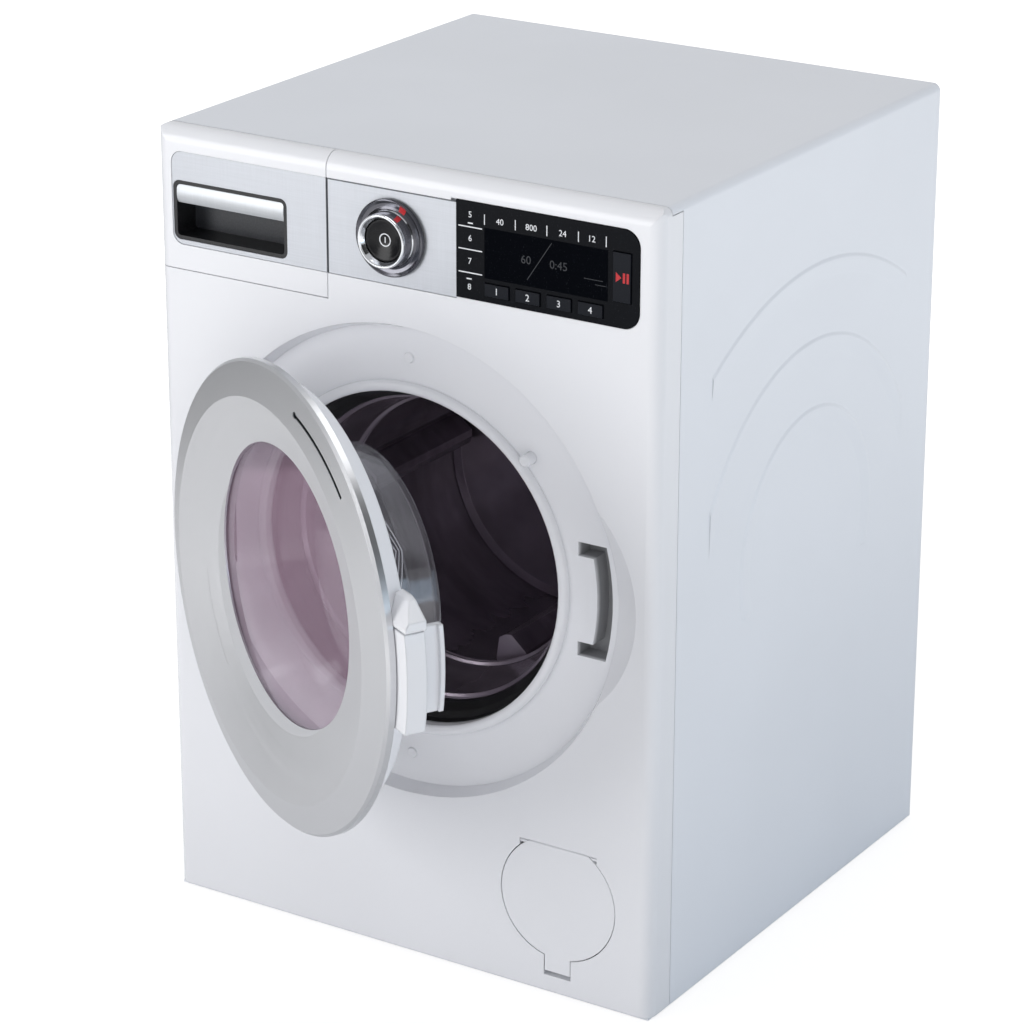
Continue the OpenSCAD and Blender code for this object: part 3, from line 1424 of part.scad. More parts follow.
front_shell();
housing();
base_plate();
rear_cover();
control_fascia();
display_panel();
circuit_board();
keypad_mat();
knob_switch();
drawer_guide();
tub();
door_gasket();
shaft_bush();
gearbox_plate();
idler_pin();
drive_motor();
speaker();
battery_box();
battery_contacts();
battery_cells();
battery_door();
hinge_bracket();
hinge_pin();
switch_housing();
switch_spring();
rear_screws();
base_screws();
board_screws();
gearbox_screws();
tub_screws();
drum();
drum_paddles();
drum_shaft();
drum_gear();
idler_gear();
motor_pinion();
programme_knob();
knob_retainer();
power_button();
start_button();
programme_button_1();
programme_button_2();
programme_button_3();
programme_button_4();
door_switch_pin();
drawer_front();
drawer_facing();
drawer_grip();
drawer_strip();
drawer_tray();
door_front_ring();
door_rear_ring();
door_window();
door_bowl();
door_screws();
latch_block();
latch_lever();
latch_spring();
service_flap();
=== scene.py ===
"""Dresses the toy washing machine: finishes, printed marks, moulded trim, camera and studio."""

import json
import math

import bpy
import bmesh
from bpy.props import FloatProperty, FloatVectorProperty, PointerProperty
from mathutils import Matrix, Vector
from mathutils.bvhtree import BVHTree


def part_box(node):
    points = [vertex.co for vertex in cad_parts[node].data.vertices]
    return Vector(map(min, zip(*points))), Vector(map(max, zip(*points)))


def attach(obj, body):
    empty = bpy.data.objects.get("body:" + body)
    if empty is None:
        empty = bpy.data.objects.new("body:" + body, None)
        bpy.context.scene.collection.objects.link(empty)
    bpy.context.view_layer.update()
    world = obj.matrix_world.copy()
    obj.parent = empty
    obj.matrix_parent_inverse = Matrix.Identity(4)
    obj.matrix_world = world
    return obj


bl_info = {
    "name": "Toy washing machine",
    "version": (1, 0, 0),
    "blender": (4, 5, 0),
    "location": "View3D > Sidebar > Toy washer",
    "description": "Finishes, printed marks, moulded trim and studio for a toy washing machine",
    "category": "Object",
}

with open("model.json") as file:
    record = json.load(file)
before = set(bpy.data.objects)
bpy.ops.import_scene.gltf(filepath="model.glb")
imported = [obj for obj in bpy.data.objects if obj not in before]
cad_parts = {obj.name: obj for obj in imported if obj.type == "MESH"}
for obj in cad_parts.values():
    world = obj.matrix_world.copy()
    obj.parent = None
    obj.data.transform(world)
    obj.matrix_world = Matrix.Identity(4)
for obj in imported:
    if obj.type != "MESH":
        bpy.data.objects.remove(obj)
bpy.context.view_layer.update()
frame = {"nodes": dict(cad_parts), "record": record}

MM = 0.001
FRONT_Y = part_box("front_shell")[0].y
HINGE = next(j for j in frame["record"]["behaviour"]["joints"] if j["name"] == "door_hinge")
DOOR_OPEN = math.radians(-HINGE["range_deg"][0])
DOOR_Z = HINGE["pos_m"][2]


def srgb(red, green, blue):
    """Linear colour of an sRGB triple from 0 to 255."""
    out = []
    for value in (red, green, blue):
        value /= 255
        out.append(value / 12.92 if value <= 0.04045 else ((value + 0.055) / 1.055) ** 2.4)
    return tuple(out)


def place(x, t, z):
    """A point by millimetres across, behind the front face and over the floor."""
    return Vector((x * MM, FRONT_Y + t * MM, z * MM))


# ---- Sizes and colours that a user would change ---------------------------------------------


def colour(name, description, value):
    return FloatVectorProperty(
        name=name, description=description, subtype="COLOR", size=3, min=0, max=1, default=value
    )


def length(name, description, value):
    return FloatProperty(
        name=name, description=description, unit="LENGTH", subtype="DISTANCE", min=0, default=value
    )


def wattage(name, watts):
    return FloatProperty(
        name=name, description="Power in watts", unit="POWER", min=0, default=watts
    )


class WasherFinish(bpy.types.PropertyGroup):
    """Colours of the mouldings."""

    front: colour("Front", "Glossy white of the front moulding", srgb(238, 239, 243))
    body: colour("Body", "Satin white of the top and sides", srgb(236, 239, 245))
    foil: colour("Foil", "Brushed silver facings", srgb(189, 192, 198))
    ring: colour("Door ring", "Satin silver paint of the door", srgb(210, 211, 214))
    panel: colour("Panel", "Display panel", srgb(13, 15, 20))
    print_white: colour("White print", "Printed marks on the panel", srgb(236, 238, 242))
    print_red: colour("Red print", "Start symbol and knob mark", srgb(196, 32, 40))
    drum: colour("Drum", "Plated drum", srgb(122, 112, 124))
    window: colour("Window", "Tint of the door window", srgb(190, 152, 178))
    gasket: colour("Gasket", "Rubber and the handle cup", srgb(18, 18, 20))


class WasherTrim(bpy.types.PropertyGroup):
    """Sizes of the small trim."""

    mark_depth: length("Mark depth", "Thickness of the printed marks", 0.04 * MM)
    row_line: length("Row line", "Width of the white lines of the left column", 0.35 * MM)
    bowl_rib: length("Bowl rib", "Thickness of the moulded ribs of the bowl", 0.5 * MM)


class WasherStudio(bpy.types.PropertyGroup):
    """Camera and light."""

    lens: FloatProperty(name="Lens", description="Focal length in mm", min=20, default=133.4)
    key_power: wattage("Key light", 7.3)
    fill_power: wattage("Fill light", 3.6)
    world_level: FloatProperty(
        name="World", description="Strength of the even light", min=0, default=0.54
    )


def settings():
    return bpy.context.scene.washer_finish


# ---- Shader maths ---------------------------------------------------------------------------


class Sock:
    """A shader socket or number that Python's operators turn into Math nodes."""

    def __init__(self, shade, socket):
        self.shade, self.socket = shade, socket

    def _math(self, operation, *others):
        values = [o.socket if isinstance(o, Sock) else o for o in (self, *others)]
        return self.shade.node("ShaderNodeMath", {"operation": operation}, *values)

    def __add__(self, other):
        return self._math("ADD", other)

    __radd__ = __add__

    def __mul__(self, other):
        return self._math("MULTIPLY", other)

    __rmul__ = __mul__

    def __sub__(self, other):
        return self._math("SUBTRACT", other)

    def __rsub__(self, other):
        return (self * -1) + other

    def __truediv__(self, other):
        return self._math("DIVIDE", other)

    def __pow__(self, other):
        return self._math("POWER", other)

    def __abs__(self):
        return self._math("ABSOLUTE")

    def above(self, other):
        return self._math("GREATER_THAN", other)

    def below(self, other):
        return self._math("LESS_THAN", other)

    def sine(self):
        return self._math("SINE")

    def ramp(self, low, high, to_low=0.0, to_high=1.0):
        """Smooth step from low to high."""
        return self.shade.node(
            "ShaderNodeMapRange", {"interpolation_type": "SMOOTHSTEP", "clamp": True},
            self.socket, low, high, to_low, to_high,
        )


class Shade:
    """A material's node tree round one Principled shader."""

    def __init__(self, name, **constants):
        self.material = bpy.data.materials.new(name)
        self.material.use_nodes = True
        self.tree = self.material.node_tree
        self.tree.nodes.clear()
        self.out = self.tree.nodes.new("ShaderNodeOutputMaterial")
        self.skin = self.tree.nodes.new("ShaderNodeBsdfPrincipled")
        self.tree.links.new(self.skin.outputs[0], self.out.inputs["Surface"])
        self.set(**constants)
        self._where = None

    def set(self, **inputs):
        """Sets or links the skin's sockets: base_color stands for Base Color, and so on."""
        for key, value in inputs.items():
            words = key.replace("_", " ").title().replace("Ior", "IOR")
            self._put(self.skin.inputs[words], value)

    def _put(self, socket, value):
        if isinstance(value, Sock):
            value = value.socket
        if isinstance(value, bpy.types.NodeSocket):
            self.tree.links.new(value, socket)
            return
        if hasattr(value, "__len__"):
            value = tuple(value)
            if socket.type == "RGBA" and len(value) == 3:
                value += (1.0,)
        socket.default_value = value

    def node(self, kind, options=None, *values, out=0, **named):
        """Any other node: its settings first, then its sockets by place or by name."""
        node = self.tree.nodes.new(kind)
        for key, value in (options or {}).items():
            if key == "stops":
                while len(node.color_ramp.elements) < len(value):
                    node.color_ramp.elements.new(0.5)
                for element, (position, tone) in zip(node.color_ramp.elements, value):
                    element.position = position
                    element.color = tuple(tone) + (1.0,) if len(tone) == 3 else tone
            else:
                setattr(node, key, value)
        for index, value in enumerate(values):
            if value is not None:
                self._put(node.inputs[index], value)
        for key, value in named.items():
            self._put(node.inputs[key.replace("_", " ")], value)
        return Sock(self, node.outputs[out])

    def where(self, stretch=(1, 1, 1), turn=(0, 0, 0)):
        """Object position, stretched."""
        if self._where is None:
            self._where = self.node("ShaderNodeTexCoord", out="Object")
        return self.node(
            "ShaderNodeMapping", {"vector_type": "POINT"}, self._where, (0, 0, 0), turn, stretch
        )

    def parts(self):
        """X, Y and Z of the object position, in metres."""
        if self._where is None:
            self._where = self.node("ShaderNodeTexCoord", out="Object")
        split = self.node("ShaderNodeSeparateXYZ", None, self._where).socket.node
        return [Sock(self, split.outputs[i]) for i in range(3)]

    def noise(self, scale, detail=2.0, rough=0.5, stretch=(1, 1, 1)):
        return self.node(
            "ShaderNodeTexNoise", {"noise_dimensions": "3D"},
            Vector=self.where(stretch), Scale=scale, Detail=detail, Roughness=rough,
        )

    def blend(self, mask, first, second, mode="MIX"):
        """First where mask is 0, second where it is 1."""
        node = self.tree.nodes.new("ShaderNodeMix")
        node.data_type = "RGBA"
        node.blend_type = mode
        self._put(node.inputs[0], mask)
        self._put(node.inputs[6], first)
        self._put(node.inputs[7], second)
        return Sock(self, node.outputs[2])

    def bump(self, height, distance, strength=1.0, soft=None):
        """Feeds height into Normal, over edges rounded by soft."""
        named = {"Height": height, "Distance": distance, "Strength": strength}
        if soft:
            named["Normal"] = self.node("ShaderNodeBevel", {"samples": 4}, soft)
        self.set(normal=self.node("ShaderNodeBump", None, **named))

    def soften(self, radius):
        self.set(normal=self.node("ShaderNodeBevel", {"samples": 4}, radius))


def tone(base, factor):
    return tuple(min(1.0, c * factor) for c in base)


def moulding(name, base, rough=0.32, grain=1800.0, depth=0.004, soft=0.35, coat=0.0, inside=None):
    """Moulded plastic with fine grain and a faint flow shade, and painted shade on its surfaces
    deep behind the door dish.
    """
    shade = Shade(name, specular_ior_level=0.45, coat_weight=coat, coat_roughness=0.12)
    flow = shade.noise(9, 3, 0.55)
    speck = shade.noise(grain, 2, 0.6)
    wide = shade.noise(140, 2, 0.5)
    colour_over = shade.blend(flow.ramp(0.3, 0.7), tone(base, 0.98), tone(base, 1.01))
    # Painted shade: surfaces round the door axis lying deeper than inside behind the front fall to
    # 0.4 of the base tone.
    if inside is not None:
        x, y, z = shade.parts()
        painted_shade_zone = (x ** 2 + (z - DOOR_Z) ** 2).below((80 * MM) ** 2)
        colour_over = shade.blend(
            y.ramp(inside, inside + 2 * MM) * painted_shade_zone, colour_over, tone(base, 0.4)
        )
    shade.set(
        base_color=colour_over,
        roughness=rough + (wide - 0.5) * 0.03 + (speck - 0.5) * 0.04,
    )
    shade.bump(speck * 0.7 + wide * 0.9, depth * MM, 1.0, soft * MM)
    return shade.material


def brushed_foil(name, base, node=None, top=False, left=False, right=False, metal=0.55):
    """Silver foil with fine level strokes, and a painted shadow line along its chosen edges where
    it meets the next moulding.
    """
    shade = Shade(name, specular_ior_level=0.5)
    fine = shade.noise(1, 3, 0.65, (60, 900, 5200))
    broad = shade.noise(1, 2, 0.5, (28, 400, 1500))
    weave = shade.noise(1, 2, 0.5, (2600, 400, 60))
    strokes = fine * 0.5 + broad * 0.25 + weave * 0.25
    shine = shade.blend(strokes.ramp(0.32, 0.68), tone(base, 0.94), tone(base, 1.05))
    if node:
        low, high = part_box(node)
        x, _, z = shade.parts()
        # Painted shadow: a thin dark line along each chosen edge, standing in for the shade in the
        # seam.
        painted_seam_shadow = 0.0
        if top:
            painted_seam_shadow = painted_seam_shadow + z.above(high.z - 0.38 * MM)
        if left:
            painted_seam_shadow = painted_seam_shadow + x.below(low.x + 0.25 * MM)
        if right:
            painted_seam_shadow = painted_seam_shadow + x.above(high.x - 0.3 * MM)
        shine = shade.blend(painted_seam_shadow.ramp(0, 0.9), shine, srgb(98, 101, 106))
    shade.set(base_color=shine, metallic=metal, roughness=0.42 + (fine - 0.5) * 0.2)
    shade.bump(strokes, 0.007 * MM, 1.0, 0.15 * MM)
    return shade.material


def silver_ring(name, base, centre, across, groove_r, groove_t):
    """Silver finish turned round the axis at centre, with painted shade along the curved channel
    in its face.
    """
    shade = Shade(name, specular_ior_level=0.5, coat_roughness=0.1, coat_weight=0.15)
    x, y, z = shade.parts()
    level = (x - centre.x) * across.x + (y - centre.y) * across.y
    radius = (level ** 2 + (z - centre.z) ** 2) ** 0.5
    lines = shade.node(
        "ShaderNodeTexNoise", {"noise_dimensions": "1D"},
        W=radius * 3600, Detail=2.0, Roughness=0.6,
    )
    cloud = shade.noise(22, 3, 0.5)
    flake = shade.noise(5200, 1, 0.5)
    depth = (x - centre.x) * -across.y + (y - centre.y) * across.x
    corner = level.above(8 * MM) * (z - centre.z).above(35 * MM)
    # Painted shade: the floor of the curved channel, deeper than groove_t and near groove_r, is
    # darkened.
    painted_groove_shade = depth.above(groove_t) * abs(radius - groove_r).below(1.2 * MM) * corner
    turned = shade.blend(
        lines.ramp(0.35, 0.65) * 0.5 + cloud * 0.5, tone(base, 0.95), tone(base, 1.04)
    )
    shade.set(
        base_color=shade.blend(painted_groove_shade, turned, srgb(88, 91, 96)),
        metallic=0.9,
        roughness=0.32 + (flake - 0.5) * 0.08 + (cloud - 0.5) * 0.04,
    )
    shade.bump(lines + flake * 0.05, 0.018 * MM, 1.0, 0.05 * MM)
    return shade.material


def gloss_black(name, base, rough=0.12, soft=0.25, shine=0.5, coat=0.35):
    """Polished dark plastic with hair scratches and a little dust."""
    shade = Shade(name, specular_ior_level=shine, coat_weight=coat, coat_roughness=0.06)
    hair = shade.noise(1, 4, 0.7, (1400, 300, 190))
    dust = shade.noise(2600, 1, 0.5)
    haze = shade.noise(45, 3, 0.5)
    scratch = hair.ramp(0.66, 0.74)
    shade.set(
        base_color=shade.blend(
            dust.ramp(0.66, 0.8) * 0.1 + scratch * 0.1, base, srgb(120, 124, 134)
        ),
        roughness=rough + haze * 0.08 + scratch * 0.2,
    )
    shade.bump(haze + scratch * 0.2, 0.004 * MM, 1.0, soft * MM)
    return shade.material


def rubber(name, base):
    shade = Shade(name, specular_ior_level=0.35)
    speck = shade.noise(2400, 2, 0.6)
    bloom = shade.noise(70, 4, 0.6)
    shade.set(
        base_color=shade.blend(bloom.ramp(0.4, 0.8) * 0.5, base, srgb(64, 64, 68)),
        roughness=0.55 + (speck - 0.5) * 0.25,
    )
    shade.bump(speck, 0.02 * MM, 1.0, 0.3 * MM)
    return shade.material


def steel(name, base=(0.55, 0.55, 0.57), stretch=(900, 900, 900), rough=0.28):
    """Turned or drawn steel."""
    shade = Shade(name, metallic=1.0)
    grain = shade.noise(1, 3, 0.6, stretch)
    stain = shade.noise(180, 3, 0.5)
    shade.set(
        base_color=shade.blend(stain.ramp(0.3, 0.75), base, tone(base, 0.8)),
        roughness=rough + (grain - 0.5) * 0.3,
    )
    shade.bump(grain, 0.01 * MM, 1.0, 0.1 * MM)
    return shade.material


def clear_plastic(name, base, face_on, grazing, mirror, rough=0.05):
    """See-through moulding: little to see face-on, and mirroring more and more along its edges."""
    shade = Shade(name, specular_ior_level=0.5, metallic=mirror)
    facing = shade.node("ShaderNodeLayerWeight", None, Blend=0.4, out="Facing")
    haze = shade.noise(60, 3, 0.5)
    scuff = shade.noise(1, 4, 0.7, (900, 260, 260)).ramp(0.66, 0.76)
    shade.set(
        base_color=shade.blend(haze.ramp(0.35, 0.7), base, tone(base, 0.92)),
        roughness=rough + haze * 0.05 + scuff * 0.15,
        alpha=facing.ramp(0.3, 0.98, face_on, grazing) + scuff * 0.04,
    )
    shade.soften(0.3 * MM)
    return shade.material


def dark_lacquer(name, base, rough=0.16, metal=0.6):
    """Deep glossy lacquer of the drum, with flow waves."""
    shade = Shade(name, specular_ior_level=0.5, coat_weight=0.3, coat_roughness=0.1)
    wave = shade.noise(1, 3, 0.55, (38, 90, 38))
    fleck = shade.noise(3200, 1, 0.5)
    shade.set(
        base_color=shade.blend(wave.ramp(0.3, 0.72), tone(base, 0.82), tone(base, 1.2)),
        metallic=metal,
        roughness=rough + wave * 0.1 + (fleck - 0.5) * 0.05,
    )
    shade.bump(wave + fleck * 0.1, 0.02 * MM, 1.0, 0.3 * MM)
    return shade.material


def print_ink(name, base):
    """Screen print: slightly uneven film."""
    shade = Shade(name, specular_ior_level=0.4)
    film = shade.noise(1500, 2, 0.6)
    shade.set(
        base_color=shade.blend(film.ramp(0.35, 0.65), tone(base, 0.92), base),
        roughness=0.42 + (film - 0.5) * 0.1,
    )
    return shade.material


def knob_plating(centre):
    """One turned knob: bright crown inside, smoked skirt outside."""
    shade = Shade("knob_plating", metallic=1.0, coat_weight=0.2, coat_roughness=0.05)
    x, _, z = shade.parts()
    radius = ((x - centre[0]) ** 2 + (z - centre[1]) ** 2) ** 0.5
    skirt = radius.ramp(8.9 * MM, 9.15 * MM)
    turning = (radius * (2 * math.pi / (0.22 * MM))).sine()
    haze = shade.noise(90, 3, 0.5)
    shade.set(
        base_color=shade.blend(skirt, srgb(226, 228, 232), srgb(92, 92, 98)),
        roughness=0.07 + haze * 0.05 + skirt * 0.07,
    )
    shade.bump(turning * 0.5 + haze, 0.002 * MM, 1.0, 0.2 * MM)
    return shade.material


def grip_finish(rim_y, wall_y, dark, light):
    """Finger cup in the dark colour, with a greyer back wall and its rim in the light one."""
    shade = Shade("grip_finish", specular_ior_level=0.4)
    _, y, _ = shade.parts()
    grain = shade.noise(1600, 2, 0.6)
    rim = y.below(rim_y)
    wall = y.above(wall_y)
    cup = shade.blend(wall, dark, srgb(50, 52, 57))
    speckled = shade.blend(grain.ramp(0.4, 0.7) * 0.2, cup, srgb(84, 86, 92))
    shade.set(
        base_color=shade.blend(rim, speckled, light),
        roughness=0.38 + (grain - 0.5) * 0.15,
    )
    shade.bump(grain, 0.01 * MM, 1.0, 0.2 * MM)
    return shade.material


def circuit_mask(name, base):
    """Solder mask with paler tracks under it."""
    shade = Shade(name, specular_ior_level=0.5, coat_weight=0.3, coat_roughness=0.15)
    x, _, z = shade.parts()
    tracks = ((x * 2600).sine() * (z * 1700).sine()).above(0.55)
    cloud = shade.noise(60, 2, 0.5)
    shade.set(
        base_color=shade.blend(tracks * 0.6, tone(base, 0.9), tone(base, 1.9)),
        roughness=0.35 + cloud * 0.1,
    )
    shade.bump(tracks, 0.03 * MM, 1.0)
    return shade.material


def cell_jacket(name, base, half_length):
    """Plain jacket with bare metal at both ends of the cell."""
    shade = Shade(name, specular_ior_level=0.5, coat_weight=0.4, coat_roughness=0.1)
    x, _, z = shade.parts()
    end = abs(x).above(half_length)
    band = abs(x - 0.012).below(0.009)
    film = shade.noise(500, 2, 0.5)
    wrap = shade.blend(band, base, srgb(196, 160, 70))
    shade.set(
        base_color=shade.blend(end, wrap, (0.6, 0.6, 0.62)),
        metallic=end * 0.9,
        roughness=0.28 + film * 0.08,
    )
    shade.bump(film + (z * 4200).sine() * 0.1, 0.01 * MM, 1.0)
    return shade.material


def speaker_finish(centre, cone_radius):
    """Ribbed paper cone inside a painted basket."""
    shade = Shade("speaker_finish", specular_ior_level=0.4)
    x, _, z = shade.parts()
    radius = ((x - centre[0]) ** 2 + (z - centre[1]) ** 2) ** 0.5
    cone = radius.below(cone_radius)
    rings = (radius * (2 * math.pi / (1.2 * MM))).sine()
    fibre = shade.noise(1400, 3, 0.6)
    shade.set(
        base_color=shade.blend(cone, srgb(58, 60, 64), srgb(28, 28, 30)),
        metallic=(1 - cone) * 0.7,
        roughness=0.4 + cone * 0.35 + (fibre - 0.5) * 0.1,
    )
    shade.bump(rings * cone + fibre * 0.3, 0.05 * MM, 1.0)
    return shade.material


# ---- Making and placing pieces --------------------------------------------------------------


def dress(material, *nodes):
    """Gives the CAD nodes this material."""
    for node in nodes:
        part = frame["nodes"][node]
        if not part.material_slots:
            raise RuntimeError(f"{node} has no material slot")
        for held in part.material_slots:
            held.material = material


def piece(name, body, material, build, smooth=False):
    """A new piece: build fills a bmesh in the row frame, and the piece rides on body."""
    shape = bmesh.new()
    build(shape)
    bmesh.ops.remove_doubles(shape, verts=shape.verts, dist=1e-6)
    bmesh.ops.recalc_face_normals(shape, faces=shape.faces)
    if not shape.faces:
        raise RuntimeError(f"{name} came out empty")
    mesh = bpy.data.meshes.new(name)
    shape.to_mesh(mesh)
    shape.free()
    mesh.materials.append(material)
    mesh.shade_smooth() if smooth else mesh.shade_flat()
    item = bpy.data.objects.new(name, mesh)
    bpy.context.scene.collection.objects.link(item)
    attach(item, body)
    return item


def prism(shape, outline, front, back):
    """A plate from (x, z) points in mm, between two depths."""
    near = [shape.verts.new(place(x, front, z)) for x, z in outline]
    far = [shape.verts.new(place(x, back, z)) for x, z in outline]
    shape.faces.new(near)
    shape.faces.new(far[::-1])
    count = len(outline)
    for i in range(count):
        j = (i + 1) % count
        shape.faces.new((near[i], near[j], far[j], far[i]))


def sweep(shape, rows):
    """A closed strip through rows of corners."""
    for a, b in zip(rows, rows[1:]):
        for j in range(len(a)):
            k = (j + 1) % len(a)
            shape.faces.new((a[j], a[k], b[k], b[j]))
    shape.faces.new(rows[0])
    shape.faces.new(rows[-1][::-1])


def bar(shape, x0, x1, z0, z1, front, back):
    prism(shape, [(x0, z0), (x1, z0), (x1, z1), (x0, z1)], front, back)


def stroke(shape, start, end, width, front, back):
    """A straight printed line between two (x, z) points."""
    run = Vector((end[0] - start[0], end[1] - start[1]))
    side = Vector((-run.y, run.x)).normalized() * width / 2
    a, b = Vector(start), Vector(end)
    prism(shape, [tuple(a + side), tuple(b + side), tuple(b - side), tuple(a - side)], front, back)


def numeral(shape, text, x, z, height, front, back):
    """Plain numerals centred on a point of the front."""
    curve = bpy.data.curves.new("numeral", "FONT")
    curve.body = text
    curve.resolution_u = 3
    curve.extrude = 0.5
    holder = bpy.data.objects.new("numeral", curve)
    bpy.context.scene.collection.objects.link(holder)
    bpy.context.view_layer.update()
    solid = bpy.data.meshes.new_from_object(
        holder.evaluated_get(bpy.context.evaluated_depsgraph_get())
    )
    bpy.data.objects.remove(holder)
    bpy.data.curves.remove(curve)
    wide = [v.co.x for v in solid.vertices]
    high = [v.co.y for v in solid.vertices]
    scale = height / (max(high) - min(high))
    mid = Vector(((max(wide) + min(wide)) / 2, (max(high) + min(high)) / 2))
    for vertex in solid.vertices:
        right, up = (vertex.co.x - mid.x) * scale, (vertex.co.y - mid.y) * scale
        vertex.co = place(x + right, front if vertex.co.z > 0 else back, z + up)
    shape.from_mesh(solid)
    bpy.data.meshes.remove(solid)


def face_of(node):
    """A tree of the node's faces, for laying print on it."""
    part = frame["nodes"][node]
    return BVHTree.FromPolygons(
        [v.co.copy() for v in part.data.vertices], [tuple(p.vertices) for p in part.data.polygons]
    )


def laid(shape, surface, rows, lift, sink=0.02):
    """A film on the front of a surface, from rows of (x, z) points in mm."""
    layers = []
    for offset in (-lift, sink):
        layer = []
        for row in rows:
            line = []
            for x, z in row:
                hit = surface.ray_cast(place(x, -60, z), Vector((0, 1, 0)))[0]
                if hit is None:
                    raise RuntimeError(f"no surface behind ({x:.1f}, {z:.1f})")
                line.append(shape.verts.new(hit + Vector((0, offset * MM, 0))))
            layer.append(line)
        layers.append(layer)
    near, far = layers
    last = len(rows) - 1
    for i in range(last):
        for j in range(len(rows[0]) - 1):
            shape.faces.new((near[i][j], near[i][j + 1], near[i + 1][j + 1], near[i + 1][j]))
            shape.faces.new((far[i + 1][j], far[i + 1][j + 1], far[i][j + 1], far[i][j]))
    for i, step in ((0, 1), (last, -1)):
        for j in range(len(rows[0]) - 1):
            quad = (near[i][j], far[i][j], far[i][j + 1], near[i][j + 1])
            shape.faces.new(quad[::step])
    for j, step in ((0, -1), (len(rows[0]) - 1, 1)):
        for i in range(last):
            quad = (near[i][j], far[i][j], far[i + 1][j], near[i + 1][j])
            shape.faces.new(quad[::step])


def sector(cx, cz, r0, r1, start, end, turns=24, rings=2):
    """Rows of points over part of a ring, with angles in degrees from the right."""
    rows = []
    for i in range(rings + 1):
        radius = r0 + (r1 - r0) * i / rings
        angles = [math.radians(start + (end - start) * j / turns) for j in range(turns + 1)]
        rows.append([(cx + radius * math.cos(a), cz + radius * math.sin(a)) for a in angles])
    return rows


def door_closed_to_rest():
    """Turns a point of the closed door to where the door stands at rest."""
    pin = Vector(HINGE["pos_m"])
    return (
        Matrix.Translation(pin)
        @ Matrix.Rotation(-DOOR_OPEN, 4, Vector((0, 0, 1)))
        @ Matrix.Translation(-pin)
    )


# ---- Operators ------------------------------------------------------------------------------


class WASHER_OT_cabinet(bpy.types.Operator):
    """Finish the shells, base, rear cover and flap of the cabinet"""

    bl_idname = "washer.cabinet"
    bl_label = "Cabinet"

    def execute(self, context):
        finish = settings()
        # The front moulding gets painted shade on surfaces more than 5.3 mm behind its face round
        # the door.
        dress(
            moulding(
                "front_white", finish.front, 0.22, 1500, 0.0015, 0.35, 0.12, FRONT_Y + 5.3 * MM
            ),
            "front_shell", "service_flap", "hinge_bracket", "door_switch_pin",
        )
        dress(moulding("body_white", finish.body, 0.36, 1900, 0.006, 0.5), "housing")
        dress(
            moulding("cover_white", tone(finish.body, 0.96), 0.5, 1100, 0.02, 0.3),
            "rear_cover", "base_plate", "battery_door", "battery_box",
        )
        dress(
            steel("screw_steel", (0.6, 0.6, 0.62), (2400, 300, 2400), 0.3),
            "rear_screws", "base_screws", "board_screws", "gearbox_screws", "tub_screws",
        )
        dress(
            steel("pin_steel", (0.62, 0.62, 0.64), (1800, 1800, 260), 0.22),
            "hinge_pin", "idler_pin",
        )
        dress(rubber("gasket_rubber", finish.gasket), "door_gasket")
        dress(moulding("inner_grey", srgb(120, 122, 126), 0.45, 1200, 0.01), "switch_housing")
        dress(steel("spring_steel", (0.5, 0.5, 0.53), (3000, 3000, 3000), 0.25), "switch_spring")
        return {"FINISHED"}


